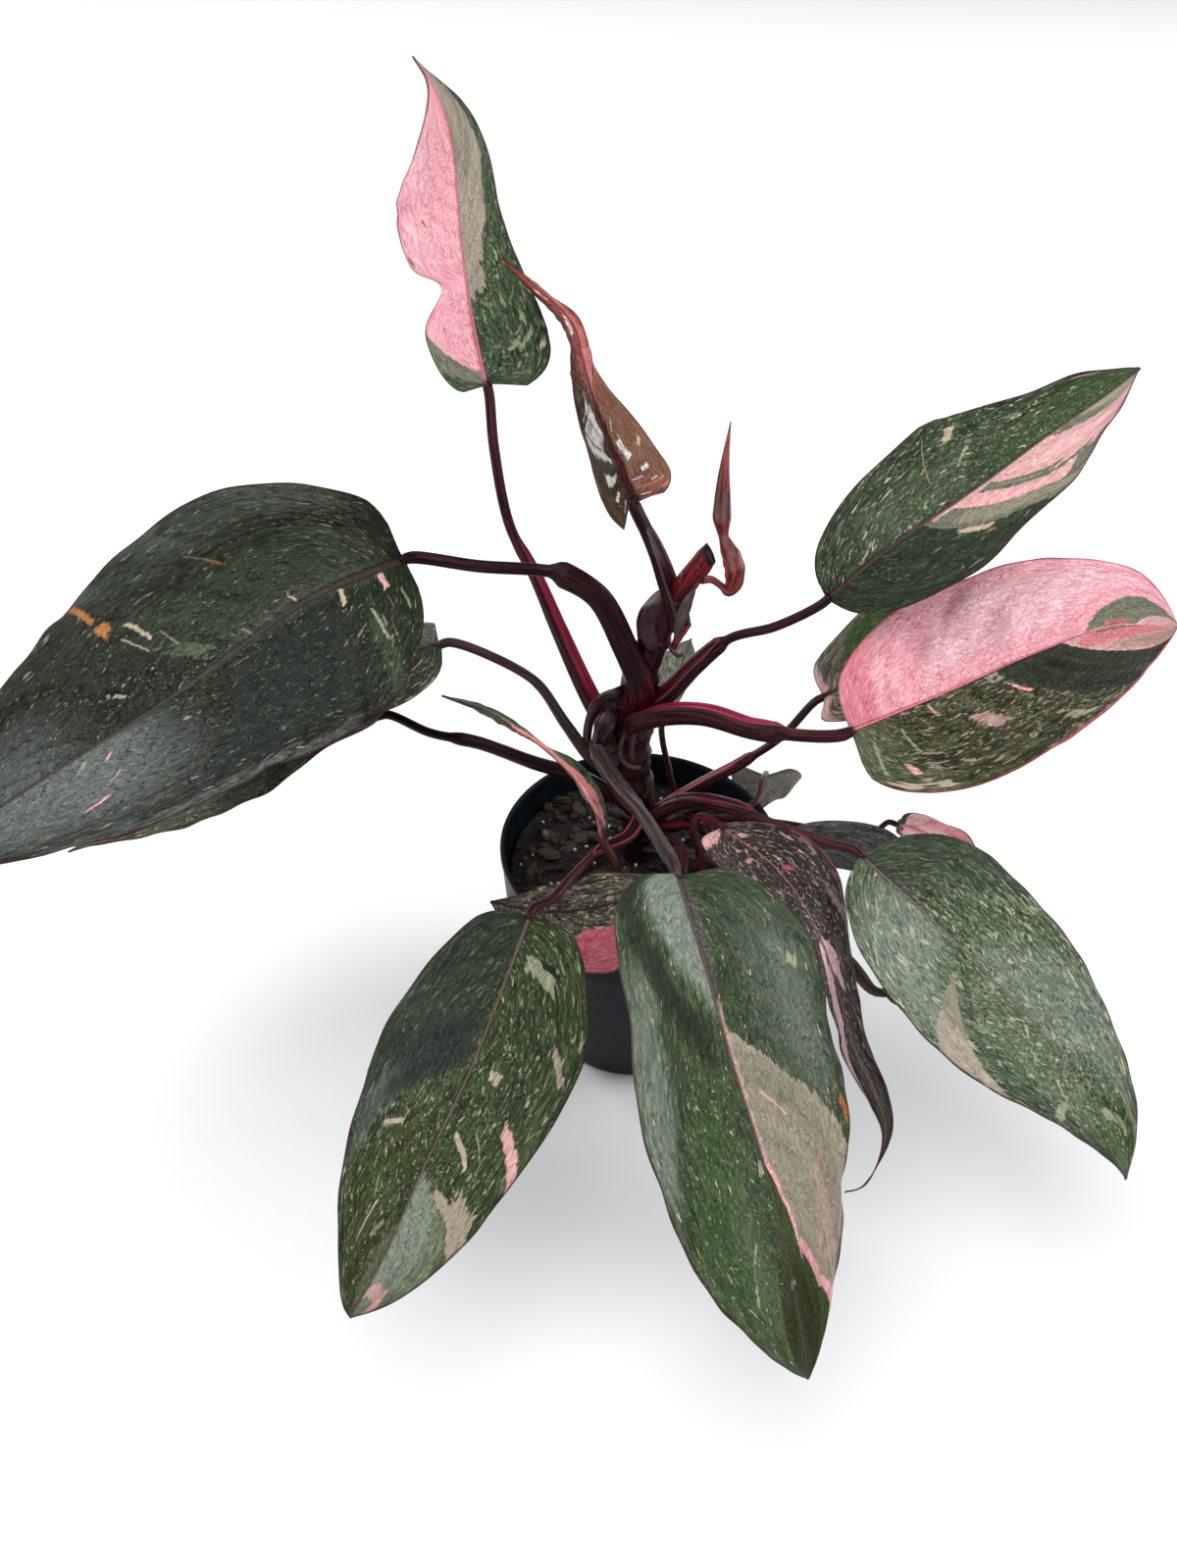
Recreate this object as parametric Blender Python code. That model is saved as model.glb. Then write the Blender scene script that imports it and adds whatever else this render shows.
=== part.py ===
"""Pink princess philodendron in a round nursery pot, in metres, +Z up.

The pot stands on z = 0 with its axis on the Z axis, and the camera side is -Y.
Every length below is in millimetres and every angle in degrees; MM turns a
finished mesh into metres.  Each leaf is two nodes, a stalk and a blade, with a
narrow gap between them and between the stalk and the main stem.
"""
import math
import random

import bpy
import numpy as np

MM = 0.001
GAP = 0.3

# Pot
RIM_RADIUS = 50.0
RIM_HEIGHT = 24.0
POT_HEIGHT = 92.0
BASE_RADIUS = 36.0
WALL = 1.6
POT_SEGMENTS = 48
DRAIN_RADIUS = 4.0
DRAIN_CIRCLE = 25.0
DRAIN_COUNT = 4

# Soil
SOIL_HEIGHT = 80.0
SOIL_LUMP = 1.3

# Bark pieces: x, y and size
BARK_PLACES = [(-34, 12, 8), (-24, 26, 7), (-8, 36, 9), (14, 35, 7), (-38, -8, 7), (-26, -20, 6), (-17, 12, 6), (34, -8, 7)]
BARK_CORNERS = 7
BARK_SUNK = 1.0

# Leaves
BLADE_THICKNESS = 0.8
RIB_DEPTH = 0.9
SEAT = 1.8
TIP_WIDTH = 0.5
STALK_SIDES = 8

# Main stem: axis and radius
STEM_AXIS = [(0, 6, 66), (-2, 4, 105), (-5, 5, 135), (-3, 5, 160), (3, 6, 181), (9, 9, 193), (16, 13, 202)]
STEM_RADIUS = [5.5, 5.5, 6.5, 6.5, 5.8, 4.2, 3.0]


def clear_scene():
    for obj in list(bpy.data.objects):
        bpy.data.objects.remove(obj, do_unlink=True)


def material(name, colour, roughness):
    found = bpy.data.materials.new(name)
    found.use_nodes = True
    shader = found.node_tree.nodes["Principled BSDF"]
    shader.inputs["Base Color"].default_value = (*colour, 1.0)
    shader.inputs["Roughness"].default_value = roughness
    return found


def add_solid(name, points, faces, surface):
    """A mesh object from points in millimetres."""
    mesh = bpy.data.meshes.new(name)
    mesh.from_pydata((np.asarray(points, float) * MM).tolist(), [], [list(map(int, face)) for face in faces])
    mesh.update()
    obj = bpy.data.objects.new(name, mesh)
    obj.data.materials.append(surface)
    bpy.context.scene.collection.objects.link(obj)
    return obj


def boolean(obj, tool, operation):
    """Cuts or joins obj with tool, which stays in the scene as a hidden helper."""
    tool.hide_render = True
    tool.display_type = "WIRE"
    step = obj.modifiers.new(tool.name, "BOOLEAN")
    step.operation = operation
    step.solver = "EXACT"
    step.object = tool


def unit(vectors):
    return vectors / np.maximum(np.linalg.norm(vectors, axis=-1, keepdims=True), 1e-12)


def spline(points, where):
    """Centripetal Catmull-Rom curve through the points, sampled at fractions of its length."""
    knots = np.asarray(points, float)
    ends = [2 * knots[0] - knots[1], *knots, 2 * knots[-1] - knots[-2]]
    fine = []
    for i in range(len(knots) - 1):
        p0, p1, p2, p3 = ends[i:i + 4]
        k1 = math.sqrt(np.linalg.norm(p1 - p0))
        k2 = k1 + math.sqrt(np.linalg.norm(p2 - p1))
        k3 = k2 + math.sqrt(np.linalg.norm(p3 - p2))
        t = np.linspace(k1, k2, 40)[:, None]
        a1 = (k1 - t) / k1 * p0 + t / k1 * p1
        a2 = (k2 - t) / (k2 - k1) * p1 + (t - k1) / (k2 - k1) * p2
        a3 = (k3 - t) / (k3 - k2) * p2 + (t - k2) / (k3 - k2) * p3
        b1 = (k2 - t) / k2 * a1 + t / k2 * a2
        b2 = (k3 - t) / (k3 - k1) * a2 + (t - k1) / (k3 - k1) * a3
        fine.append(((k2 - t) / (k2 - k1) * b1 + (t - k1) / (k2 - k1) * b2)[:-1])
    fine = np.concatenate([*fine, knots[-1:]])
    length = np.concatenate([[0], np.cumsum(np.linalg.norm(np.diff(fine, axis=0), axis=1))])
    wanted = np.asarray(where) * length[-1]
    return np.stack([np.interp(wanted, length, fine[:, i]) for i in range(3)], axis=1)


def carried_frame(path, last_up):
    """Tangent, side and up at each point, with up carried back along the path from its end."""
    tangent = unit(np.gradient(path, axis=0))
    up = np.empty_like(path)
    now = np.asarray(last_up, float)
    for i in range(len(path) - 1, -1, -1):
        now = unit(now - np.dot(now, tangent[i]) * tangent[i])
        up[i] = now
    return tangent, np.cross(tangent, up), up


def ring_faces(rings, sides):
    """Triangles of a closed tube made of rings of points, with a fan on each end."""
    faces = []
    for i in range(rings - 1):
        for j in range(sides):
            a = i * sides + j
            b = i * sides + (j + 1) % sides
            faces.append((a, b, b + sides))
            faces.append((a, b + sides, a + sides))
    first = rings * sides
    last = first + 1
    for j in range(sides):
        faces.append((first, (j + 1) % sides, j))
        faces.append((last, (rings - 1) * sides + j, (rings - 1) * sides + (j + 1) % sides))
    return faces


def tube(name, path, up, across, high, surface, sides=STALK_SIDES, groove=0.0, drop=0.0, lumps=0.0):
    """A tube along path.  across and high are half-widths at each point; groove dents its upper side."""
    tangent, side, up = carried_frame(path, up)
    angle = 2 * np.pi * np.arange(sides) / sides + np.pi / 2
    dent = np.exp(-((np.angle(np.exp(1j * (angle - np.pi / 2)))) / 0.5) ** 2)
    across = np.broadcast_to(np.asarray(across, float), len(path))[:, None, None]
    high = np.broadcast_to(np.asarray(high, float), len(path))[:, None, None]
    groove = np.broadcast_to(np.asarray(groove, float), len(path))[:, None, None]
    sine = np.sin(angle)[None, :, None] * (1 - groove * dent[None, :, None])
    bumps = 1 + lumps * np.sin(3.1 * angle[None, :, None] + 2.3 * np.arange(len(path))[:, None, None])
    points = path[:, None] + bumps * (across * np.cos(angle)[None, :, None] * side[:, None] + high * sine * up[:, None])
    points = points - drop * up[:, None]
    centre = points.mean(axis=1)
    points = np.concatenate([points.reshape(-1, 3), centre[:1], centre[-1:]])
    faces = [face[::-1] for face in ring_faces(len(path), sides)]
    return add_solid(name, points, faces, surface)


def revolved(name, profile, segments, surface):
    """A closed (radius, height) profile turned about Z.  A radius of 0 becomes one point."""
    points = []
    rows = []
    for radius, height in profile:
        if radius == 0:
            rows.append([len(points)] * segments)
            points.append((0, 0, height))
            continue
        rows.append(list(range(len(points), len(points) + segments)))
        for i in range(segments):
            angle = 2 * math.pi * i / segments
            points.append((radius * math.cos(angle), radius * math.sin(angle), height))
    faces = []
    for low, high in zip(rows, rows[1:] + rows[:1]):
        for i in range(segments):
            j = (i + 1) % segments
            face = list(dict.fromkeys([low[i], low[j], high[j], high[i]]))
            if len(face) > 2:
                faces.append(face)
    return add_solid(name, points, faces, surface)


def side_shape(half, widest, base, tip, point, fold=(10, 8), lobe=4.0, wave=0.8, phase=0.0, curl=(0, 0), notch=None):
    """One half of a blade.

    half is its greatest width, reached at the fraction widest of the length.
    base, tip and point shape the edge.  fold lifts the half from the midrib and
    curl bends it, each at the base and at the tip.  lobe is how far its heart
    lobe reaches back.  notch is where the edge is torn, how deep and how long.
    """
    return dict(half=half, widest=widest, base=base, tip=tip, point=point, fold=fold, lobe=lobe, wave=wave,
                phase=phase, curl=curl, notch=notch)


def edge_width(shape, t):
    """Half-width of a blade as a share of its greatest, at fractions t of the length."""
    before = 1 - np.clip(t / shape["widest"], 0, 1)
    after = np.clip((t - shape["widest"]) / (1 - shape["widest"]), 0, 1)
    near = (1 - before ** shape["base"]) ** (1 / shape["base"])
    far = np.maximum(1 - after ** shape["tip"], 0) ** shape["point"]
    return np.where(t < shape["widest"], near, far)


def blade_frame(leaf, t):
    rib = spline(leaf["rib"], t)
    tangent = unit(np.gradient(rib, axis=0))
    along = rib[-1] - rib[0]
    if leaf["heading"] is not None:
        heading = math.radians(leaf["heading"])
        along = np.array([math.sin(heading), math.cos(heading), 0])
    level = unit(np.array([along[1], -along[0], 0.0]))
    side = unit(level - (tangent @ level)[:, None] * tangent)
    up = np.cross(side, tangent)
    roll = np.radians(np.interp(t, np.linspace(0, 1, len(leaf["roll"])), leaf["roll"]))[:, None]
    side, up = side * np.cos(roll) - up * np.sin(roll), side * np.sin(roll) + up * np.cos(roll)
    return rib, tangent, side, up


def blade_surface(leaf, t, v):
    """Points [len(t), len(v), 3] of the middle of the blade, v from -1 on the left to 1 on the right."""
    rib, tangent, side, up = blade_frame(leaf, t)
    out = np.empty((len(t), len(v), 3))
    for j, across in enumerate(v):
        shape = leaf["right"] if across > 0 else leaf["left"]
        share = edge_width(shape, t)
        width = np.maximum.reduce([shape["half"] * share, SEAT * (1 - t) ** 6, np.full(len(t), TIP_WIDTH)])
        if shape["notch"]:
            at, deep, long = shape["notch"]
            width = width * (1 - deep * np.exp(-((t - at) / long) ** 2))
        a = abs(across)
        fold = np.radians(np.interp(t, (0, 1), shape["fold"]))
        curl = np.radians(np.interp(t, (0, 1), shape["curl"]))
        curl = np.where(np.abs(curl) < 1e-3, 1e-3, curl)
        x = width * (np.sin(fold + curl * a) - np.sin(fold)) / curl
        z = width * (np.cos(fold) - np.cos(fold + curl * a)) / curl
        ripple = np.sin(2 * np.pi * (2.5 * t + shape["phase"]))
        z = z + shape["wave"] * ripple * a ** 2 * np.minimum(1, share * 1.5)
        reach = np.clip((width * a - 1.3 * SEAT) / (0.45 * shape["half"]), 0, 1)
        shift = leaf["sweep"] * a ** 1.5 * np.sin(np.pi * t) ** 0.8 * 0.6
        shift = shift - shape["lobe"] * np.exp(-((t - 0.03) / 0.13) ** 2) * reach
        out[:, j] = rib + math.copysign(1, across) * side * x[:, None] + up * z[:, None] + tangent * shift[:, None]
    return out


def surface_normals(grid, up):
    along = np.gradient(grid, axis=0)
    across = np.gradient(grid, axis=1)
    normal = unit(np.cross(across, along))
    facing = np.sign((normal * up[:, None]).sum(axis=-1, keepdims=True))
    return normal * np.where(facing == 0, 1, facing)


def blade_solid(leaf, rows, half_cols, surface):
    """The blade as a closed sheet, split into the same triangles on both faces."""
    t = np.linspace(0, 1, rows + 1)
    v = np.concatenate([-np.linspace(1, 0, half_cols + 1)[:-1], np.linspace(0, 1, half_cols + 1)])
    cols = len(v)
    grid = blade_surface(leaf, t, v)
    normal = surface_normals(grid, blade_frame(leaf, t)[3])
    top = grid + normal * BLADE_THICKNESS / 2
    under = np.full((len(t), cols), BLADE_THICKNESS / 2)
    under[:, half_cols] += RIB_DEPTH * (1 - t) ** 0.7
    bottom = grid - normal * under[..., None]
    points = np.concatenate([top.reshape(-1, 3), bottom.reshape(-1, 3)])
    second = len(t) * cols
    faces = []
    for i in range(rows):
        for j in range(cols - 1):
            a = i * cols + j
            if j < half_cols:
                pair = ((a, a + 1, a + cols), (a + 1, a + cols + 1, a + cols))
            else:
                pair = ((a, a + 1, a + cols + 1), (a, a + cols + 1, a + cols))
            for face in pair:
                faces.append(face)
                faces.append(tuple(second + k for k in face[::-1]))
    loop = [j for j in range(cols)]
    loop += [i * cols + cols - 1 for i in range(1, rows + 1)]
    loop += [rows * cols + j for j in range(cols - 2, -1, -1)]
    loop += [i * cols for i in range(rows - 1, 0, -1)]
    for a, b in zip(loop, loop[1:] + loop[:1]):
        faces.append((b, a, second + a))
        faces.append((b, second + a, second + b))
    return add_solid("blade_" + leaf["name"], points, faces, surface)


def stalk_path(leaf):
    """Knots of the stalk, ended square to the base of its blade."""
    start = blade_frame(leaf, np.linspace(0, 1, 41))
    base = start[0][0]
    forward = start[1][0]
    knots = [np.asarray(point, float) for point in leaf["stalk"]]
    return knots + [base - 3 * forward, base - 2 * GAP * forward], start[3][0]


def stalk_solid(leaf, surface, grow=0.0, name=None):
    """The stalk: a broad grooved sheath up to leaf['sheath'], then a thin round petiole."""
    knots, up = stalk_path(leaf)
    end = leaf["sheath"]
    t = [0, 0.33 * end, 0.66 * end, end - 0.05, end, end + 0.035]
    t += list(np.linspace(end + 0.035, 1, 7)[1:])
    if end < 0.1:
        t = np.linspace(0, 1, 9)
    t = np.array(t)
    path = spline(knots, t)
    wide, thin = leaf["width"]
    inside = np.clip((end + 0.02 - t) / 0.04, 0, 1)
    across = thin / 2 + inside * (wide - thin) / 2 * (1 - 0.25 * t / max(end, 0.1))
    across = np.minimum(across, 0.85 * SEAT + 12 * (1 - t))
    high = np.minimum(across * (0.92 - 0.12 * inside), 1.2 + 12 * (1 - t))
    groove = 0.15 + 0.25 * inside
    return tube(name or "stalk_" + leaf["name"], path, up, across + grow, high + grow, surface, groove=groove * (grow == 0),
                drop=0.45)


def leaf(name, stalk, rib, left, right, roll=(0,), width=(5.5, 3.4), sheath=0.5, sweep=8.0, heading=None, size=(14, 4)):
    """stalk and rib are knots; roll turns the blade about its midrib; size is rows and columns a side."""
    return dict(name=name, stalk=stalk, rib=rib, left=left, right=right, roll=roll, width=width, sheath=sheath,
                sweep=sweep, heading=heading, size=size)


LEAVES = [
    leaf("tall",
         stalk=[(-6, 5, 128), (-17, 5, 146), (-30, 14, 170), (-38, 20, 186), (-47, 27, 200), (-53, 40, 220)],
         rib=[(-56, 51, 235), (-61, 61, 252), (-65, 72, 268), (-70, 93, 292), (-76, 106, 303), (-85, 117, 311)],
         left=side_shape(24, 0.53, 3.5, 0.8, 1.75, fold=(-15, 9), lobe=2.5, notch=(0.27, 0.5, 0.06)),
         right=side_shape(25.5, 0.11, 2.8, 0.8, 0.87, fold=(0, 7), lobe=7.5, phase=0.5),
         roll=(-44, -49, 34), width=(7, 3.4), sheath=0.36, size=(20, 4)),
    leaf("broad",
         stalk=[(-3, 3, 150), (-2, 0, 160), (-8, 2, 175), (-17, 6, 190), (-28, 7, 196), (-35, 7, 197), (-53, 4, 199)],
         rib=[(-75, 0, 202), (-96, -27, 204), (-119, -66, 200), (-137, -99, 200), (-160, -129, 195)],
         left=side_shape(43, 0.34, 1.95, 1.85, 0.77, fold=(6, 0), lobe=0, wave=1.2),
         right=side_shape(41, 0.42, 2.25, 1.55, 0.92, fold=(15, 1), lobe=6, wave=1.2, phase=0.5),
         roll=(-36, -6, -2), width=(8.5, 4), sheath=0.56, size=(16, 5)),
    leaf("middle",
         stalk=[(-7, 7, 116), (-18, -3, 134), (-26, 0, 144), (-36, 5, 156), (-52, 8, 164)],
         rib=[(-68, 8, 167), (-82, 1, 165), (-106, -10, 159), (-130, -26, 152), (-151, -41, 145)],
         left=side_shape(34, 0.36, 1.9, 1.55, 1.08, fold=(-6, 7), lobe=0),
         right=side_shape(34, 0.35, 3, 1.75, 1.04, fold=(-10, 1), lobe=5, phase=0.5),
         roll=(1, 30, 8), width=(6.5, 3.4), sheath=0.3, size=(10, 3)),
    leaf("lower",
         stalk=[(-5, 0, 104), (-15, -2, 120), (-24, -1, 124), (-37, -1, 128), (-55, 0, 134), (-72, 1, 136)],
         rib=[(-90, 3, 140), (-114, -6, 136), (-140, -21, 129), (-165, -37, 121), (-182, -47, 117)],
         left=side_shape(27, 0.41, 1.9, 1.3, 1.15, fold=(15, 7), lobe=6),
         right=side_shape(24, 0.21, 2.6, 1.7, 1.05, fold=(12, 4), lobe=5, phase=0.5),
         roll=(13, -2, 13), width=(6, 3.4), sheath=0.72, size=(10, 3)),
    leaf("slim",
         stalk=[(-2, -27, 73), (-3, -29, 90), (-5, -31, 103), (-8, -32, 115)],
         rib=[(-12, -32, 125), (-15, -32, 139), (-24, -31, 152), (-36, -30, 163), (-49, -30, 172), (-60, -31, 176)],
         left=side_shape(9.7, 0.43, 2.2, 1.95, 0.91, fold=(11, -2), lobe=1, wave=0.4),
         right=side_shape(9, 0.34, 2.7, 1.5, 1.13, fold=(10, -9), lobe=1, wave=0.4, phase=0.5),
         roll=(-12, 33, 17), width=(3.2, 3), sheath=0, sweep=3, size=(10, 2)),
    leaf("new",
         stalk=[(7, 6, 186), (4, 8, 193), (0, 12, 202)],
         rib=[(-8, 20, 214), (-13, 26, 222), (-20, 33, 235), (-24, 38, 244), (-29, 45, 257), (-39, 49, 265),
              (-50, 53, 272)],
         left=side_shape(21, 0.11, 1.5, 0.8, 0.8, fold=(21, -15), lobe=12),
         right=side_shape(19, 0.33, 3.6, 1.6, 1.17, fold=(14, -23), lobe=2, phase=0.5),
         roll=(-5, 33, 16), width=(6.5, 3.2), sheath=0.5, size=(14, 3)),
    leaf("upper",
         stalk=[(-2, 5, 148), (6, 1, 158), (14, 3, 168), (24, 4, 178), (37, 4, 183)],
         rib=[(52, 7, 192), (71, 16, 207), (93, 27, 220), (115, 40, 233), (131, 50, 241), (141, 58, 246)],
         left=side_shape(27, 0.47, 1.9, 0.8, 0.8, fold=(19, 8)),
         right=side_shape(27, 0.28, 1.7, 1.3, 1.07, fold=(14, 0), lobe=3, phase=0.5),
         roll=(21, 4, 36), width=(6.5, 3), sheath=0.52),
    leaf("pink",
         stalk=[(-6, -1, 147), (6, -8, 157), (18, -14, 162), (33, -20, 162), (47, -22, 162)],
         rib=[(61, -20, 163), (86, -11, 171), (116, 3, 179), (141, 15, 182), (167, 27, 176)],
         left=side_shape(30, 0.26, 1.85, 2.5, 0.71, fold=(11, 14)),
         right=side_shape(31, 0.25, 2.2, 1.8, 0.89, fold=(2, 3), lobe=5, phase=0.5),
         roll=(28, 22, 37), width=(8, 4), sheath=0.72, size=(16, 4)),
    leaf("grey",
         stalk=[(2, 7, 98), (12, 7, 108), (22, 7, 117), (37, 9, 128), (46, 11, 136)],
         rib=[(58, 17, 148), (71, 21, 154), (86, 25, 161), (105, 33, 168), (121, 40, 172)],
         left=side_shape(25, 0.34, 1.7, 1.7, 1.05, fold=(9, 9), lobe=5),
         right=side_shape(22, 0.36, 2.35, 1.7, 1.05, fold=(8, 7), lobe=9, phase=0.5),
         roll=(-4, 16, 0), width=(5.5, 3), sheath=0.58, size=(10, 3)),
    leaf("arching",
         stalk=[(-1, 3, 97), (3, 0, 105), (13, 0, 113), (28, -5, 117), (44, -12, 116), (60, -19, 116)],
         rib=[(72, -25, 116), (96, -46, 107), (115, -62, 97), (134, -77, 84), (150, -92, 67), (155, -98, 56)],
         left=side_shape(35.5, 0.15, 1.5, 1.65, 0.85, fold=(3, 9), lobe=2.5),
         right=side_shape(36, 0.27, 1.6, 1.75, 1.18, fold=(3, 7), lobe=3, phase=0.5),
         roll=(-3, 7, 2), width=(7, 3.6), sheath=0.55, size=(16, 4)),
    leaf("front",
         stalk=[(-7, 3, 134), (-15, -10, 141), (-8, -27, 142), (0, -41, 144), (7, -56, 145)],
         rib=[(11, -68, 146), (20, -96, 138), (27, -114, 126), (37, -131, 106), (47, -147, 78), (55, -161, 47)],
         left=side_shape(39, 0.16, 2.0, 1.3, 0.62, fold=(6, 3), lobe=7.5),
         right=side_shape(39, 0.49, 2.9, 1.17, 0.87, fold=(13, 11), lobe=-2, phase=0.5),
         roll=(-27, -17, -30), width=(5, 4.6), sheath=0, size=(16, 4)),
    leaf("front_left",
         stalk=[(-3, 2, 99), (-1, -5, 108), (-4, -16, 110), (-13, -28, 114), (-20, -42, 117), (-26, -53, 117)],
         rib=[(-32, -61, 117), (-37, -83, 112), (-44, -106, 101), (-54, -127, 86), (-65, -147, 65), (-73, -157, 52)],
         left=side_shape(32, 0.29, 1.6, 1.6, 0.89, fold=(4, 6), lobe=5),
         right=side_shape(30, 0.46, 2.3, 1.0, 0.62, fold=(3, 7), lobe=3.5, phase=0.5),
         roll=(0, 7, -9), width=(5, 3), sheath=0.55, size=(16, 4)),
    leaf("dusky",
         stalk=[(21, -19, 74), (22, -20, 91), (20, -18, 105), (17, -17, 117), (19, -17, 122)],
         rib=[(26, -23, 123), (44, -38, 120), (56, -53, 111), (65, -67, 94), (71, -76, 80), (78, -82, 69),
              (82, -89, 57), (75, -99, 39)],
         left=side_shape(20.5, 0.23, 1.8, 0.8, 1.4, fold=(9, 2), lobe=-2),
         right=side_shape(23, 0.19, 1.85, 0.8, 1.6, fold=(15, -8), lobe=6, phase=0.5),
         roll=(0, -46, 69), width=(4, 3), sheath=0.5, size=(18, 3)),
    leaf("rim",
         stalk=[(-1, 2, 90), (6, -9, 105), (13, -16, 108), (15, -25, 107)],
         rib=[(10, -36, 105), (-4, -43, 107), (-16, -48, 107), (-31, -51, 108), (-46, -50, 110)],
         left=side_shape(22, 0.38, 2.0, 1.7, 1.1, fold=(-38, -38), curl=(-34, -34)),
         right=side_shape(11, 0.38, 2.0, 1.7, 1.1, fold=(25, 25), phase=0.5),
         width=(3.6, 2.8), sheath=0, size=(10, 3)),
    leaf("small_back",
         stalk=[(2, 8, 86), (16, 12, 90), (30, 14, 94), (41, 20, 97), (44, 31, 97), (46, 39, 94)],
         rib=[(47, 44, 89), (48, 48, 81), (47, 52, 71), (46, 54, 61)],
         left=side_shape(14, 0.14, 2.0, 1.7, 1.1, lobe=6),
         right=side_shape(14, 0.14, 2.0, 1.7, 1.1, lobe=6, phase=0.5),
         heading=0, width=(3, 2.4), sheath=0, size=(8, 3)),
    leaf("dark",
         stalk=[(1, 3, 92), (6, 1, 99), (23, 1, 101), (40, -2, 101)],
         rib=[(52, -5, 99), (67, -6, 100), (85, -9, 98), (104, -15, 93)],
         left=side_shape(14, 0.38, 2.0, 1.7, 1.1),
         right=side_shape(12, 0.38, 2.0, 1.7, 1.1, phase=0.5),
         width=(4, 3), sheath=0.6, size=(8, 3)),
    leaf("small_pink",
         stalk=[(2, 5, 93), (14, 6, 99), (38, 9, 98), (56, 11, 95), (71, 12, 91), (84, 12, 93)],
         rib=[(91, 11, 98), (100, 7, 98), (112, 2, 94), (124, -5, 88)],
         left=side_shape(9, 0.38, 2.0, 1.7, 1.1),
         right=side_shape(9, 0.38, 2.0, 1.7, 1.1, phase=0.5),
         width=(3, 2.2), sheath=0, size=(8, 3)),
    leaf("back",
         stalk=[(2, 8, 92), (11, 15, 98), (9, 15, 112), (6, 16, 124), (5, 18, 130)],
         rib=[(6, 25, 133), (9, 42, 131), (12, 60, 129), (15, 78, 127)],
         left=side_shape(10, 0.38, 2.0, 1.7, 1.1),
         right=side_shape(10, 0.38, 2.0, 1.7, 1.1, phase=0.5),
         width=(3, 2.2), sheath=0, size=(8, 3)),
    leaf("under",
         stalk=[(0, 2, 88), (14, -8, 96), (34, -18, 100), (44, -26, 99), (58, -35, 92), (72, -43, 84)],
         rib=[(82, -51, 80), (92, -53, 79), (107, -59, 76), (122, -67, 73)],
         left=side_shape(7, 0.38, 2.0, 1.7, 1.1),
         right=side_shape(6, 0.38, 2.0, 1.7, 1.1, phase=0.5),
         width=(4, 4), sheath=0, size=(8, 2)),
]

BLADE_COLOURS = {
    "tall": (0.62, 0.30, 0.30), "new": (0.10, 0.05, 0.04), "pink": (0.68, 0.34, 0.36), "dusky": (0.09, 0.05, 0.06),
    "slim": (0.12, 0.06, 0.06), "small_pink": (0.55, 0.30, 0.30), "small_back": (0.28, 0.26, 0.23),
}
LEAF_GREEN = (0.05, 0.09, 0.05)


def soil_height(x, y):
    """Height of the lumpy top of the soil."""
    lumps = math.sin(0.31 * x + 1.2) * math.cos(0.27 * y) + 0.6 * math.sin(0.63 * x - 0.55 * y)
    return SOIL_HEIGHT + SOIL_LUMP * 0.6 * lumps


def build_pot(surface):
    band = POT_HEIGHT - RIM_HEIGHT
    slope = (RIM_RADIUS - 3.0 - BASE_RADIUS) / band
    wall_top = BASE_RADIUS + slope * band
    profile = [
        (0, 0), (BASE_RADIUS - 1.5, 0), (BASE_RADIUS, 1.5),
        (wall_top, band), (wall_top + 1.4, band + 0.6), (RIM_RADIUS - 0.3, POT_HEIGHT - 1), (RIM_RADIUS, POT_HEIGHT - 0.4),
        (RIM_RADIUS - 0.4, POT_HEIGHT), (RIM_RADIUS - 1.4, POT_HEIGHT), (RIM_RADIUS - WALL - 0.4, POT_HEIGHT - 0.8),
        (wall_top + 1.4 - WALL, band + 2.0), (wall_top - WALL, band - 1), (BASE_RADIUS - WALL + 0.3, 3.0),
        (BASE_RADIUS - WALL - 1.2, 1.8), (0, 1.8),
    ]
    pot = revolved("pot", profile, POT_SEGMENTS, surface)
    for i in range(DRAIN_COUNT):
        angle = 2 * math.pi * (i + 0.5) / DRAIN_COUNT
        middle = np.array([DRAIN_CIRCLE * math.cos(angle), DRAIN_CIRCLE * math.sin(angle), 0])
        path = middle + np.array([(0, 0, -2), (0, 0, 4)])
        hole = tube(f"drain_cutter_{i}", path, (1, 0, 0), DRAIN_RADIUS, DRAIN_RADIUS, surface, sides=12)
        boolean(pot, hole, "DIFFERENCE")


def build_soil(surface, cutters):
    band = POT_HEIGHT - RIM_HEIGHT
    slope = (RIM_RADIUS - 3.0 - BASE_RADIUS) / band
    outer = [
        (BASE_RADIUS - WALL - 1.6, 1.8 + GAP), (BASE_RADIUS - WALL, 3.4), (BASE_RADIUS + slope * band - WALL - GAP, band - 1),
        (BASE_RADIUS + slope * band + 1.4 - WALL - GAP, band + 2.2), (RIM_RADIUS - 3.0 - GAP, SOIL_HEIGHT - 2),
    ]
    segments = 40
    rings = [44, 37, 30, 23, 16, 8]
    points = [(0, 0, 1.8 + GAP)]
    for radius, height in outer:
        for i in range(segments):
            angle = 2 * math.pi * i / segments
            points.append((radius * math.cos(angle), radius * math.sin(angle), height))
    for radius in rings:
        for i in range(segments):
            angle = 2 * math.pi * i / segments
            x = radius * math.cos(angle)
            y = radius * math.sin(angle)
            points.append((x, y, soil_height(x, y)))
    points.append((0, 0, soil_height(0, 0)))
    faces = []
    rows = len(outer) + len(rings)
    for i in range(segments):
        j = (i + 1) % segments
        faces.append((0, 1 + j, 1 + i))
        last = 1 + (rows - 1) * segments
        faces.append((last + i, last + j, len(points) - 1))
        for row in range(rows - 1):
            a = 1 + row * segments
            faces.append((a + i, a + j, a + segments + j))
            faces.append((a + i, a + segments + j, a + segments + i))
    soil = add_solid("soil", points, faces, surface)
    for cutter in cutters:
        boolean(soil, cutter, "DIFFERENCE")


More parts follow.
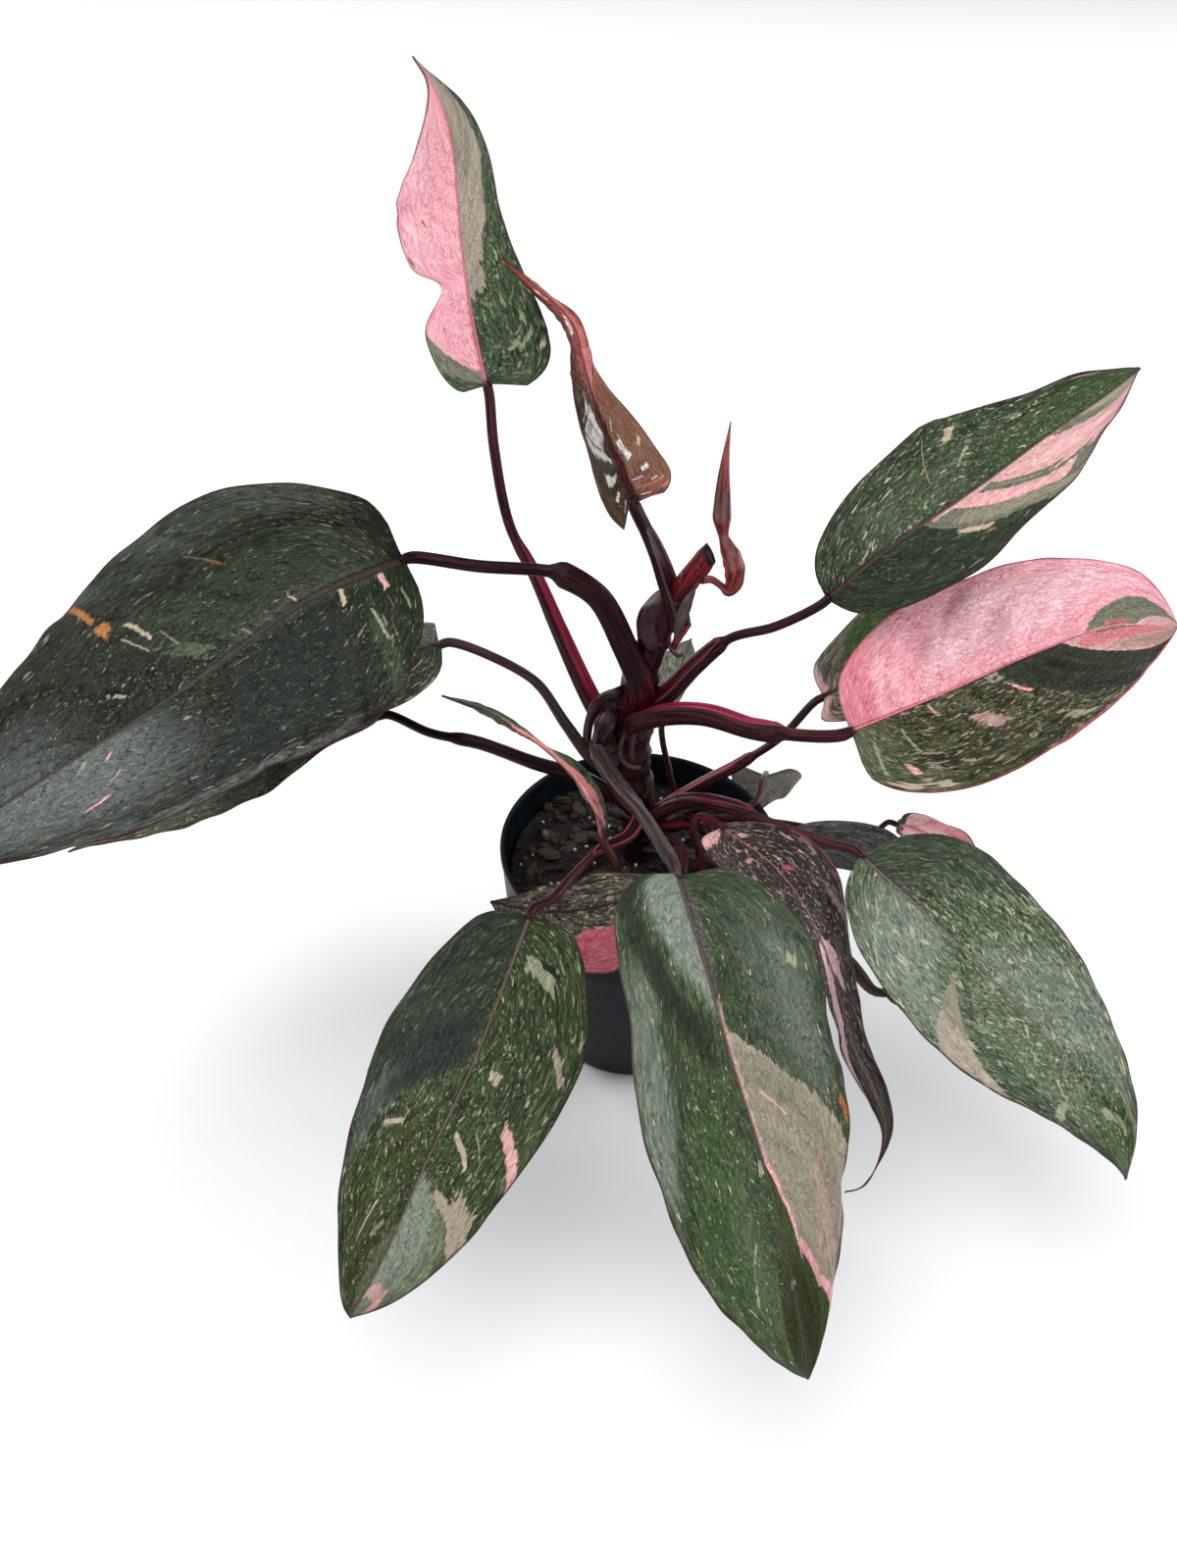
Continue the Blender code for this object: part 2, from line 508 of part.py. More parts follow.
def stem_tube(name, surface, grow=0.0, part=1.0):
    t = np.linspace(0, part, 13)
    path = spline(STEM_AXIS, t)
    radius = np.interp(t, np.linspace(0, 1, len(STEM_RADIUS)), STEM_RADIUS)
    return tube(name, path, (0, 1, 0), radius + grow, radius + grow, surface, sides=14)


def build_stem(surface):
    """The main stem with its cut stub, and three small bud scales joined to it."""
    stem = stem_tube("stem", surface)
    scales = {
        "scale_low": [(5, 7, 186), (9, 4, 187), (11, 4, 190)],
        "scale_high": [(10, 10, 198), (7, 12, 202), (7, 13, 206)],
        "scale_dry": [(2, 5, 180), (7, 2, 181), (9, 2, 180)],
    }
    for name, knots in scales.items():
        path = spline(knots, np.linspace(0, 1, 5))
        tool = tube(name, path, (0, 1, 0), [1.4, 1.5, 1.5, 1.2, 0.7], [1.0, 1.0, 1.0, 0.9, 0.6], surface, sides=8)
        boolean(stem, tool, "UNION")


def build_spear(surface, stem_cutter):
    """The shed red sheath of the newest leaf, hung on a thread from the side of the stub."""
    knots = [(12, 11, 196), (17, 13, 194), (20, 14, 192), (23, 14, 191), (25, 14, 193), (26, 17, 196), (23, 20, 199),
             (21, 23, 202), (20, 28, 209), (19, 36, 218), (19, 46, 229)]
    t = np.array([0, 0.08, 0.15, 0.2, 0.25, 0.31, 0.4, 0.48, 0.58, 0.72, 0.86, 1.0])
    path = spline(knots, t)
    across = [0.7, 0.7, 0.7, 1.0, 2.8, 3.6, 2.6, 1.4, 1.8, 2.1, 1.5, 0.4]
    high = [0.6, 0.6, 0.6, 0.9, 1.8, 2.0, 1.5, 0.9, 1.1, 1.2, 0.9, 0.35]
    spear = tube("shed_sheath", path, (0, -0.7, 0.7), across, high, surface)
    boolean(spear, stem_cutter, "DIFFERENCE")


def build_roots(surface, stem_cutter):
    """Two thin aerial roots and a dry strip, which leave the front of the stem."""
    knots = {
        "root_long": [(-6, 2, 143), (-8, -3.5, 139.5), (-8, -5, 135), (-5, -5.5, 131.5), (-1, -4.5, 130.5)],
        "root_short": [(-3.5, 2, 143), (-4.5, -3.2, 140), (-4.5, -4.2, 136), (-4, -4.2, 133)],
    }
    for name, points in knots.items():
        path = spline(points, np.linspace(0, 1, 9))
        root = tube(name, path, (0, -1, 0.3), 0.8, 0.8, surface, sides=6)
        boolean(root, stem_cutter, "DIFFERENCE")
    path = spline([(-1, 2, 111), (2, -2.2, 116), (2.5, -3, 121), (1.5, -3.6, 126)], np.linspace(0, 1, 6))
    strip = tube("dry_strip", path, (0, -1, 0.2), [0.8, 1.4, 1.6, 1.4, 1.1, 0.6], 0.5, surface, sides=6)
    boolean(strip, stem_cutter, "DIFFERENCE")


def chip_solid(name, x, y, corners, foot, tops, surface):
    """A bark piece with a flat foot, sides that lean in and a broken top."""
    count = len(corners)
    points = [(px, py, foot) for px, py in corners]
    points += [(x + 0.8 * (px - x), y + 0.8 * (py - y), top) for (px, py), top in zip(corners, tops)]
    points += [(x, y, foot), (x, y, max(tops))]
    faces = []
    for i in range(count):
        j = (i + 1) % count
        faces += [(i, j, count + j), (i, count + j, count + i), (2 * count, j, i), (2 * count + 1, count + i, count + j)]
    return add_solid(name, points, faces, surface)


def build_chips(surface):
    """Pieces of bark half sunk in the soil, clear of the stalks.  Returns the cutters of their dents."""
    random.seed(4)
    cutters = []
    for number, (x, y, size) in enumerate(BARK_PLACES):
        turn = random.uniform(0, math.pi)
        corners = []
        for i in range(BARK_CORNERS):
            angle = turn + 2 * math.pi * i / BARK_CORNERS
            reach = size * 0.5 * random.uniform(0.75, 1.1)
            corners.append((x + reach * math.cos(angle), y + 0.65 * reach * math.sin(angle)))
        foot = soil_height(x, y) - BARK_SUNK
        tops = [foot + BARK_SUNK + random.uniform(0.9, 1.9) for corner in corners]
        chip_solid(f"bark_{number + 1}", x, y, corners, foot, tops, surface)
        wider = [(x + (px - x) * (1 + GAP), y + (py - y) * (1 + GAP)) for px, py in corners]
        cutters.append(chip_solid(f"dent_cutter_{number + 1}", x, y, wider, foot - GAP, [foot + 9] * BARK_CORNERS, surface))
    return cutters


def main():
    clear_scene()
    plastic = material("pot plastic", (0.012, 0.014, 0.02), 0.45)
    earth = material("potting mix", (0.03, 0.02, 0.015), 0.95)
    bark = material("bark", (0.08, 0.045, 0.03), 0.9)
    maroon = material("maroon stem", (0.09, 0.015, 0.02), 0.35)
    red = material("red sheath", (0.25, 0.03, 0.025), 0.3)
    dry = material("dry root", (0.07, 0.04, 0.035), 0.7)
    build_pot(plastic)
    build_stem(maroon)
    stem_cutter = stem_tube("stem_cutter", maroon, grow=GAP)
    cutters = [stem_cutter] + build_chips(bark)
    for each in LEAVES:
        colour = BLADE_COLOURS.get(each["name"], LEAF_GREEN)
        blade_solid(each, *each["size"], material("blade " + each["name"], colour, 0.35))
        stalk = stalk_solid(each, maroon)
        if each["stalk"][0][2] < SOIL_HEIGHT:
            cutters.append(stalk_solid(each, maroon, grow=GAP, name="cutter_" + each["name"]))
        else:
            boolean(stalk, stem_cutter, "DIFFERENCE")
    build_soil(earth, cutters)
    build_spear(red, stem_cutter)
    build_roots(dry, stem_cutter)


main()
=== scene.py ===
import math
import random

import bpy
import numpy as np
from mathutils import Matrix, Vector, noise


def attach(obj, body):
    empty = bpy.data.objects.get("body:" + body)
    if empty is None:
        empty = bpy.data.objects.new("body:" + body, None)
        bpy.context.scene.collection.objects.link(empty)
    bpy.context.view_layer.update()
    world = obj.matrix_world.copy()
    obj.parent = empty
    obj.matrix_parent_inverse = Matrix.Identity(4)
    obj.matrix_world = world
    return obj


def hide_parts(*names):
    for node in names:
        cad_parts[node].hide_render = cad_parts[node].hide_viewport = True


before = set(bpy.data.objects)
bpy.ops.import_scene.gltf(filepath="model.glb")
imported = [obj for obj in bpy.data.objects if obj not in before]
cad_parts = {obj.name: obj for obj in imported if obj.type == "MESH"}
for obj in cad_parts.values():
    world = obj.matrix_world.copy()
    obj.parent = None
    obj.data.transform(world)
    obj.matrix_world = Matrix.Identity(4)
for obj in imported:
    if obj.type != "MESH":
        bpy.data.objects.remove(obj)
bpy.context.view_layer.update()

# Lengths are in millimetres until mesh_object turns them into metres. The angles named here are in degrees.
MM = 0.001

# Camera, on the photograph's own 1200 x 1599 frame
FRAME_LONG_SIDE = 1599
FOCAL_PIXELS = 1155.0
SENSOR = 36.0
EYE = (0.0, -291.1, 375.0)
YAW = -3.7
PITCH = 41.4
ROLL = 1.0

# Blades: the seat joins the stalk, and the side veins are pulled back toward it near the rim. FINER is the
# number of rows to each one of the CAD.
BLADE_THICKNESS = 0.5
RIB_DEPTH = 0.9
CHANNEL_DEPTH = 0.35
RIB_HALF_WIDTH = 1.05
SEAT = 1.8
TIP_WIDTH = 0.5
VEIN_PULL = 0.45
VEIN_CURVE = 1.3
VEIN_SPACING = 7.5
EDGE_WAVES = 2.5
RIGHT_PHASE = 0.5
LOBE_AT = 0.03
LOBE_LENGTH = 0.13
BROAD_ROLLS = 4
ROLL_SWELL = 0.22
SMALL_FOLDS = 7
HEM_WAVES = 3
FINER = 6

# Sides and rings of the tubes, and segments of the turned pieces
STALK_SIDES = 32
STALK_RINGS = 72
STEM_SIDES = 56
STEM_RINGS = 150
CROWN_SIDES = 28
CROWN_RINGS = 40
SHEATH_SIDES = 40
SHEATH_RINGS = 130
ROOT_SIDES = 20
ROOT_RINGS = 50
STRIP_RINGS = 40
POT_SEGMENTS = 160
DRAIN_SEGMENTS = 32
SOIL_SEGMENTS = 200
SOIL_RINGS = 64

# Pot and soil
RIM_RADIUS = 50.0
RIM_HEIGHT = 24.0
RIM_OVERHANG = 3.0
POT_HEIGHT = 92.0
BASE_RADIUS = 36.0
WALL = 1.6
WALL_TOP = RIM_RADIUS - RIM_OVERHANG
WALL_HEIGHT = POT_HEIGHT - RIM_HEIGHT
DRAIN_RADIUS = 4.0
DRAIN_CIRCLE = 25.0
DRAIN_COUNT = 4
SOIL_HEIGHT = 80.0
SOIL_LUMP = 1.3

# Main stem: axis and radius
STEM_AXIS = [(0, 6, 66), (-2, 4, 105), (-5, 5, 135), (-3, 5, 160), (3, 6, 181), (9, 9, 193), (16, 13, 202)]
STEM_RADIUS = [5.5, 5.5, 6.5, 6.5, 5.8, 4.0, 3.2]

# Colours, linear
PINK = (0.96, 0.50, 0.55)
ROSE = (0.74, 0.17, 0.24)
BLUSH = (0.78, 0.46, 0.45)
CRIMSON = (0.22, 0.008, 0.028)
MAROON = (0.020, 0.0045, 0.006)
MAROON_BROWN = (0.030, 0.012, 0.010)
DARK_MAROON = (0.009, 0.0022, 0.0032)
OLIVE_BROWN = (0.034, 0.020, 0.013)
GREY_BROWN = (0.026, 0.017, 0.016)
BEIGE = (0.40, 0.34, 0.27)
GREY_GREEN = (0.20, 0.205, 0.145)
CREAM = (0.56, 0.46, 0.34)
LEAF_DARK = (0.022, 0.036, 0.018)
LEAF_GREEN = (0.050, 0.085, 0.030)
PALE_FLECK = (0.26, 0.30, 0.17)
BRONZE = (0.12, 0.055, 0.035)
COPPER = (0.26, 0.12, 0.075)
RUST = (0.42, 0.17, 0.05)


def unit(vectors):
    return vectors / np.maximum(np.linalg.norm(vectors, axis=-1, keepdims=True), 1e-12)


def ease(values):
    """0 below 0, 1 above 1, and a smooth rise between."""
    share = np.clip(values, 0, 1)
    return share * share * (3 - 2 * share)


def bell(values, middle, width):
    """1 at the middle and nearly 0 at twice the width away from it."""
    return np.exp(-((values - middle) / width) ** 2)


def lengths_along(path):
    return np.concatenate([[0], np.cumsum(np.linalg.norm(np.diff(path, axis=0), axis=1))])


def spline(points, where):
    """Centripetal Catmull-Rom curve through the points, sampled at fractions of its length."""
    knots = np.asarray(points, float)
    ends = [2 * knots[0] - knots[1], *knots, 2 * knots[-1] - knots[-2]]
    fine = []
    for i in range(len(knots) - 1):
        p0, p1, p2, p3 = ends[i:i + 4]
        k1 = math.sqrt(np.linalg.norm(p1 - p0))
        k2 = k1 + math.sqrt(np.linalg.norm(p2 - p1))
        k3 = k2 + math.sqrt(np.linalg.norm(p3 - p2))
        t = np.linspace(k1, k2, 40)[:, None]
        a1 = (k1 - t) / k1 * p0 + t / k1 * p1
        a2 = (k2 - t) / (k2 - k1) * p1 + (t - k1) / (k2 - k1) * p2
        a3 = (k3 - t) / (k3 - k2) * p2 + (t - k2) / (k3 - k2) * p3
        b1 = (k2 - t) / k2 * a1 + t / k2 * a2
        b2 = (k3 - t) / (k3 - k1) * a2 + (t - k1) / (k3 - k1) * a3
        fine.append(((k2 - t) / (k2 - k1) * b1 + (t - k1) / (k2 - k1) * b2)[:-1])
    fine = np.concatenate([*fine, knots[-1:]])
    length = lengths_along(fine)
    wanted = np.asarray(where) * length[-1]
    return np.stack([np.interp(wanted, length, fine[:, i]) for i in range(3)], axis=1)


def carried_frame(path, last_up):
    """Side and up at each point, with up carried back along the path from its end."""
    tangent = unit(np.gradient(path, axis=0))
    up = np.empty_like(path)
    now = np.asarray(last_up, float)
    for i in range(len(path) - 1, -1, -1):
        now = unit(now - np.dot(now, tangent[i]) * tangent[i])
        up[i] = now
    return np.cross(tangent, up), up


def new_object(name, data):
    """An object in the scene, made from a mesh, a lamp or a camera."""
    made = bpy.data.objects.new(name, data)
    bpy.context.scene.collection.objects.link(made)
    return made


def mesh_object(name, points, faces, surface=None):
    mesh = bpy.data.meshes.new(name)
    mesh.from_pydata((np.asarray(points, float) * MM).tolist(), [], faces)
    if surface:
        mesh.materials.append(surface)
    return new_object(name, mesh)


def add_piece(name, points, faces, surface, nodes=(), marks=None, smooth=True):
    """A mesh piece from points in millimetres, which stands for the CAD nodes named."""
    piece = mesh_object(name, points, faces, surface)
    for label, values in (marks or {}).items():
        layer = piece.data.attributes.new(label, "FLOAT_VECTOR", "POINT")
        layer.data.foreach_set("vector", np.asarray(values, np.float32).ravel())
    piece.data.polygons.foreach_set("use_smooth", [smooth] * len(faces))
    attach(piece, "root")
    if nodes:
        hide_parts(*nodes)
    return piece


def grid_faces(rows, cols, start=0, turned=False):
    faces = []
    for i in range(rows - 1):
        for j in range(cols - 1):
            a = start + i * cols + j
            face = (a, a + 1, a + cols + 1, a + cols)
            faces.append(face[::-1] if turned else face)
    return faces


def ring_faces(rings, sides, start=0):
    """Faces between rings of points that follow each other, each ring closed on itself."""
    faces = []
    for a in range(start, start + (rings - 1) * sides, sides):
        for i in range(sides):
            j = (i + 1) % sides
            faces.append((a + i, a + j, a + sides + j, a + sides + i))
    return faces


def fan_faces(middle, start, sides, turned=False):
    """Faces between one point and the ring of points from start on."""
    faces = [(middle, start + (i + 1) % sides, start + i) for i in range(sides)]
    return [face[::-1] if turned else face for face in faces]


def tube_mesh(path, up, across, high, sides, groove=0.0, groove_width=0.5, crest=0.0, drop=0.0,
              lumps=None, skew=0.0):
    """Points, faces and marks of a tube along path.

    across and high are half-widths. groove dents the side that skew radians turn from the top, over
    groove_width radians, and crest raises the two edges of the dent. drop lowers the tube, and lumps is
    how far each of its points swells.
    """
    rings = len(path)
    side, up = carried_frame(path, up)
    turn = np.angle(np.exp(2j * np.pi * np.arange(sides) / sides))[None, :]
    widths = (across, high, groove, groove_width, crest)
    widths = [np.broadcast_to(np.asarray(each, float), rings)[:, None] for each in widths]
    across, high, groove, groove_width, crest = widths
    off = np.angle(np.exp(1j * (turn - skew)))
    dent = bell(off, 0, np.maximum(groove_width, 0.05))
    edge = bell(np.abs(off), 1.7 * groove_width, 0.2)
    deep = 1 - groove * dent + crest * edge
    swell = 1 if lumps is None else 1 + lumps
    sideways = across * np.sin(turn) * (deep if skew else 1 + 0.4 * crest * edge) * swell
    upward = (high * np.cos(turn) * deep - drop) * swell
    points = path[:, None] + sideways[..., None] * side[:, None] + upward[..., None] * up[:, None]
    length = lengths_along(path)
    along = np.broadcast_to(length[:, None], points.shape[:2])
    around = np.broadcast_to(turn / np.pi, along.shape)
    flow = np.stack([along, sideways, upward], axis=-1).reshape(-1, 3)
    place = np.stack([along / length[-1], around, dent * (groove > 0.01)], axis=-1).reshape(-1, 3)
    last = (rings - 1) * sides
    points = np.concatenate([points.reshape(-1, 3), points.mean(axis=1)[[0, -1]]])
    marks = {label: np.concatenate([values, values[[0, last]]])
             for label, values in (("flow", flow), ("place", place))}
    middle = rings * sides
    faces = ring_faces(rings, sides) + fan_faces(middle, 0, sides)
    faces += fan_faces(middle + 1, last, sides, turned=True)
    return points, [face[::-1] for face in faces], marks


def round_ends(count, share=0.08):
    """Widths at the rings of a tube that closes in a dome at both ends."""
    t = np.linspace(0, 1, count)
    near = np.clip(np.minimum(t, 1 - t) / share, 0, 1)
    return np.sqrt(np.maximum(1 - (1 - near) ** 2, 0.02))


def revolved_mesh(profile, segments):
    """Points and faces of a closed (radius, height) profile turned about Z."""
    points = []
    rows = []
    for radius, height in profile:
        if radius == 0:
            rows.append([len(points)] * segments)
            points.append((0, 0, height))
            continue
        rows.append(list(range(len(points), len(points) + segments)))
        for i in range(segments):
            angle = 2 * math.pi * i / segments
            points.append((radius * math.cos(angle), radius * math.sin(angle), height))
    faces = []
    for low, high in zip(rows, rows[1:] + rows[:1]):
        for i in range(segments):
            j = (i + 1) % segments
            face = list(dict.fromkeys([low[i], low[j], high[j], high[i]]))
            if len(face) > 2:
                faces.append(face)
    return points, faces


def half_shape(half, widest=0.38, base=2.0, tip=1.7, point=1.1, fold=(10, 8), lobe=4.0, wave=0.8,
               curl=(0, 0), notches=()):
    """One half of a blade.

    half is its greatest width, reached at the fraction widest of the length. base, tip and point shape
    the edge. fold lifts the half from the midrib and curl bends it, each at the base and at the tip. lobe
    is how far its heart lobe reaches back, and wave the height of its edge's waves. Each notch is where
    the edge is torn, how deep and how long; below 0 it swells.
    """
    return dict(half=half, widest=widest, base=base, tip=tip, point=point, fold=fold, lobe=lobe, wave=wave,
                curl=curl, notches=notches)


def edge_width(shape, t):
    """Half-width of a blade as a share of its greatest, at fractions t of the length."""
    spread = np.minimum(0.05, 0.5 * np.minimum(t, 1 - t))
    width = 0
    for at, share in ((t - spread, 0.25), (t, 0.5), (t + spread, 0.25)):
        before = 1 - np.clip(at / shape["widest"], 0, 1)
        after = np.clip((at - shape["widest"]) / (1 - shape["widest"]), 0, 1)
        near = (1 - before ** shape["base"]) ** (1 / shape["base"])
        far = np.maximum(1 - after ** shape["tip"], 0) ** shape["point"]
        width = width + share * np.where(at < shape["widest"], near, far)
    return width


def half_width(shape, t):
    """Half-width of a blade in millimetres, with its narrow seat, its tip and its torn notches."""
    seat = SEAT * (1 - t) ** 6
    width = np.maximum.reduce([shape["half"] * edge_width(shape, t), seat, np.full(len(t), TIP_WIDTH)])
    for at, deep, long in shape["notches"]:
        width = width * (1 - deep * bell(t, at, long))
    return width


def blade_frame(leaf, t):
    """The midrib and the blade's own tangent, side and up along it."""
    rib = spline(leaf["rib"], t)
    tangent = unit(np.gradient(rib, axis=0))
    along = rib[-1] - rib[0]
    if leaf["heading"] is not None:
        heading = math.radians(leaf["heading"])
        along = np.array([math.sin(heading), math.cos(heading), 0])
    level = unit(np.array([along[1], -along[0], 0.0]))
    side = unit(level - (tangent @ level)[:, None] * tangent)
    up = np.cross(side, tangent)
    near = np.minimum(0.12, np.minimum(t, 1 - t))
    stations = np.linspace(0, 1, len(leaf["roll"]))
    roll = 0
    for move, share in ((-1, 0.25), (0, 0.5), (1, 0.25)):
        roll = roll + share * np.interp(t + move * near, stations, leaf["roll"])
    roll = np.radians(roll)[:, None]
    side, up = side * np.cos(roll) - up * np.sin(roll), side * np.sin(roll) + up * np.cos(roll)
    return rib, tangent, side, up


def blade_surface(leaf, t, v):
    """Points [len(t), len(v), 3] of the middle of the blade, v from -1 on the left to 1 on the right."""
    rib, tangent, side, up = blade_frame(leaf, t)
    out = np.empty((len(t), len(v), 3))
    for j, across in enumerate(v):
        shape = leaf["right"] if across > 0 else leaf["left"]
        phase = RIGHT_PHASE if across > 0 else 0
        width = half_width(shape, t)
        a = abs(across)
        fold = np.radians(np.interp(t, (0, 1), shape["fold"]))
        curl = np.radians(np.interp(t, (0, 1), shape["curl"]))
        curl = np.where(np.abs(curl) < 1e-3, 1e-3, curl)
        x = width * (np.sin(fold + curl * a) - np.sin(fold)) / curl
        z = width * (np.cos(fold) - np.cos(fold + curl * a)) / curl
        ripple = np.sin(2 * np.pi * (EDGE_WAVES * t + phase))
        z = z + shape["wave"] * ripple * a ** 2 * np.minimum(1, edge_width(shape, t) * 1.5)
        reach = np.clip((width * a - 1.3 * SEAT) / (0.45 * shape["half"]), 0, 1)
        shift = leaf["sweep"] * a ** 1.5 * np.sin(np.pi * t) ** 0.8 * 0.6
        shift = shift - shape["lobe"] * bell(t, LOBE_AT, LOBE_LENGTH) * reach
        outward = math.copysign(1, across) * side
        out[:, j] = rib + outward * x[:, None] + up * z[:, None] + tangent * shift[:, None]
    return out


def blade_relief(leaf, t, v, veins, across, seed):
    """Swell of the whole blade, and depth of the midrib's channel above and ridge below, in millimetres.

    The swell is the quilt between the side veins, and broad rolls, small folds and waves of the hem at
    random places.
    """
    rng = random.Random(seed)
    t = t[:, None]
    v = v[None, :]
    a = np.abs(v)
    inner = ease(across / 5) * ease((1 - a) * 5) * ease(t * 9) * ease((1 - t) * 6)
    quilt = -leaf["quilt"] * np.cos(2 * np.pi * veins / VEIN_SPACING) * inner
    roll = 0
    for k in range(BROAD_ROLLS):
        turn = 2 * np.pi * (veins / rng.uniform(16, 34) + rng.random())
        roll = roll + ROLL_SWELL * np.sin(turn + rng.uniform(2, 5) * v)
    roll = roll * ease(across / 12) * ease(t * 7)
    for k in range(SMALL_FOLDS):
        wave = veins / rng.uniform(4.5, 13) + across * v / a.clip(0.01) / rng.uniform(-60, 60)
        roll = roll + leaf["crinkle"] * np.sin(2 * np.pi * (wave + rng.random())) * inner
    hem = 0
    for k in range(HEM_WAVES):
        hem = hem + leaf["hem"] * np.sin(2 * np.pi * (veins / rng.uniform(7, 17) + rng.random()))
    hem = hem * a ** 5 * ease(t * 6) * ease((1 - t) * 5)
    rib = bell(across, 0, RIB_HALF_WIDTH) * (1 - t) ** 0.7
    return quilt + roll + hem, CHANNEL_DEPTH * rib, RIB_DEPTH * rib


def blade_piece(leaf, number, surface):
    """The blade as a fine closed sheet, with its veins, its waved edge and its midrib."""
    rows, half_cols = (FINER * count for count in leaf["size"])
    t = np.linspace(0, 1, rows + 1)
    half = np.linspace(0, 1, half_cols + 1) ** 1.5
    v = np.concatenate([-half[:0:-1], half])
    cols = len(v)
    grid = blade_surface(leaf, t, v)
    rib, tangent, side, up = blade_frame(leaf, t)
    normal = unit(np.cross(np.gradient(grid, axis=1), np.gradient(grid, axis=0)))
    facing = np.sign((normal * up[:, None]).sum(axis=-1, keepdims=True))
    normal = normal * np.where(facing == 0, 1, facing)
    left, right = (half_width(leaf[name], t)[:, None] for name in ("left", "right"))
    widths = np.where(v[None, :] > 0, right, left)
    away = np.abs(v)[None, :]
    across = away * widths
    share = t[:, None] * (1 - VEIN_PULL * away ** VEIN_CURVE)
    veins = share * lengths_along(rib)[-1]
    swell, channel, ridge = blade_relief(leaf, t, v, veins, across, number)
    thick = BLADE_THICKNESS / 2 * np.clip(0.25 + 4 * (1 - away), 0, 1)
    top = grid + normal * (swell + thick - channel)[..., None]
    bottom = grid + normal * (swell - thick - ridge)[..., None]
    second = len(t) * cols
    faces = grid_faces(rows + 1, cols) + grid_faces(rows + 1, cols, second, turned=True)
    loop = list(range(cols))
    loop += [i * cols + cols - 1 for i in range(1, rows + 1)]
    loop += [rows * cols + j for j in range(cols - 2, -1, -1)]
    loop += [i * cols for i in range(rows - 1, 0, -1)]
    faces += [(b, a, second + a, second + b) for a, b in zip(loop, loop[1:] + loop[:1])]
    signed = np.broadcast_to(v[None, :], share.shape)
    flow = np.stack([veins, across * np.sign(signed), (1 - away) * widths], axis=-1).reshape(-1, 3)
    over = np.stack([share, signed, np.ones_like(share)], axis=-1).reshape(-1, 3)
    under = over * (1, 1, -1)
    marks = {"flow": np.concatenate([flow, flow]), "place": np.concatenate([over, under])}
    points = np.concatenate([top.reshape(-1, 3), bottom.reshape(-1, 3)])
    add_piece("leaf_" + leaf["name"], points, faces, surface, ["blade_" + leaf["name"]], marks)


def stalk_piece(leaf, surface):
    """The stalk: a broad sheath with a glossy groove up to leaf["sheath"], then a round petiole."""
    rib, forward, sideward, up = (each[0] for each in blade_frame(leaf, np.linspace(0, 1, 41)))
    knots = [*leaf["stalk"], rib - 3 * forward, rib + 1.2 * forward]
    end = leaf["sheath"]
    t = np.linspace(0, 1, STALK_RINGS)
    wide, thin = leaf["width"]
    inside = ease((end + 0.02 - t) / 0.05)
    narrowing = 1 - leaf["taper"] * (t / max(end, 0.1)) ** 1.5
    across = thin / 2 + inside * (leaf["bulk"] * wide - thin) / 2 * narrowing
    dome = np.sqrt(np.clip(1 - (1 - t / 0.035).clip(0) ** 2, 0.1, 1))
    across = np.minimum(across, 0.85 * SEAT + 12 * (1 - t)) * dome
    high = np.minimum(across * (leaf["flat"] - 0.12 * inside), 1.2 + 12 * (1 - t))
    tip = np.sqrt(np.clip(1 - t / max(end, 0.01), 0, 1))
    opening = np.clip(tip * 2.2, 0, 1) * (end > 0)
    turn = 2 * np.pi * np.arange(STALK_SIDES) / STALK_SIDES
    flutes = 0.035 * inside[:, None] * np.sin(7 * turn[None, :] + 3 * t[:, None])
    points, faces, marks = tube_mesh(
        spline(knots, t), up, across, high, STALK_SIDES, groove=0.12 + 0.38 * opening,
        groove_width=0.2 + 0.45 * opening, crest=0.16 * opening, drop=0.45, lumps=flutes,
        skew=math.radians(leaf["skew"]))
    marks["place"][:, 2] *= np.concatenate([np.repeat(opening, STALK_SIDES), [0, 0]])
    name = leaf["name"]
    add_piece("stalk_skin_" + name, points, faces, surface, ["stalk_" + name], marks)


def leaf(name, stalk, rib, left, right, roll=(0,), width=(5.5, 3.4), sheath=0.5, sweep=8.0,
         heading=None, size=(14, 4), quilt=0.1, crinkle=0.12, skew=0, bulk=1.1, taper=0.45, hem=0.26,
         flat=0.92):
    """One leaf: the knots of its stalk and midrib, and the two halves of its blade.

    roll turns the blade about its midrib, sweep draws its edge forward and heading is where a hanging blade
    faces. size is the CAD rows and columns a side. quilt is the swell between side veins, crinkle that of
    the irregular folds along them and hem that of the waved edge. width is that of the sheath and of the
    petiole, skew turns the sheath's groove, bulk fills its skin out, taper narrows it toward its end and
    flat is its thickness as a share of its width.
    """
    return dict(name=name, stalk=stalk, rib=rib, left=left, right=right, roll=roll, width=width,
                sheath=sheath, sweep=sweep, heading=heading, size=size, quilt=quilt, crinkle=crinkle,
                skew=skew, bulk=bulk, taper=taper, hem=hem, flat=flat)


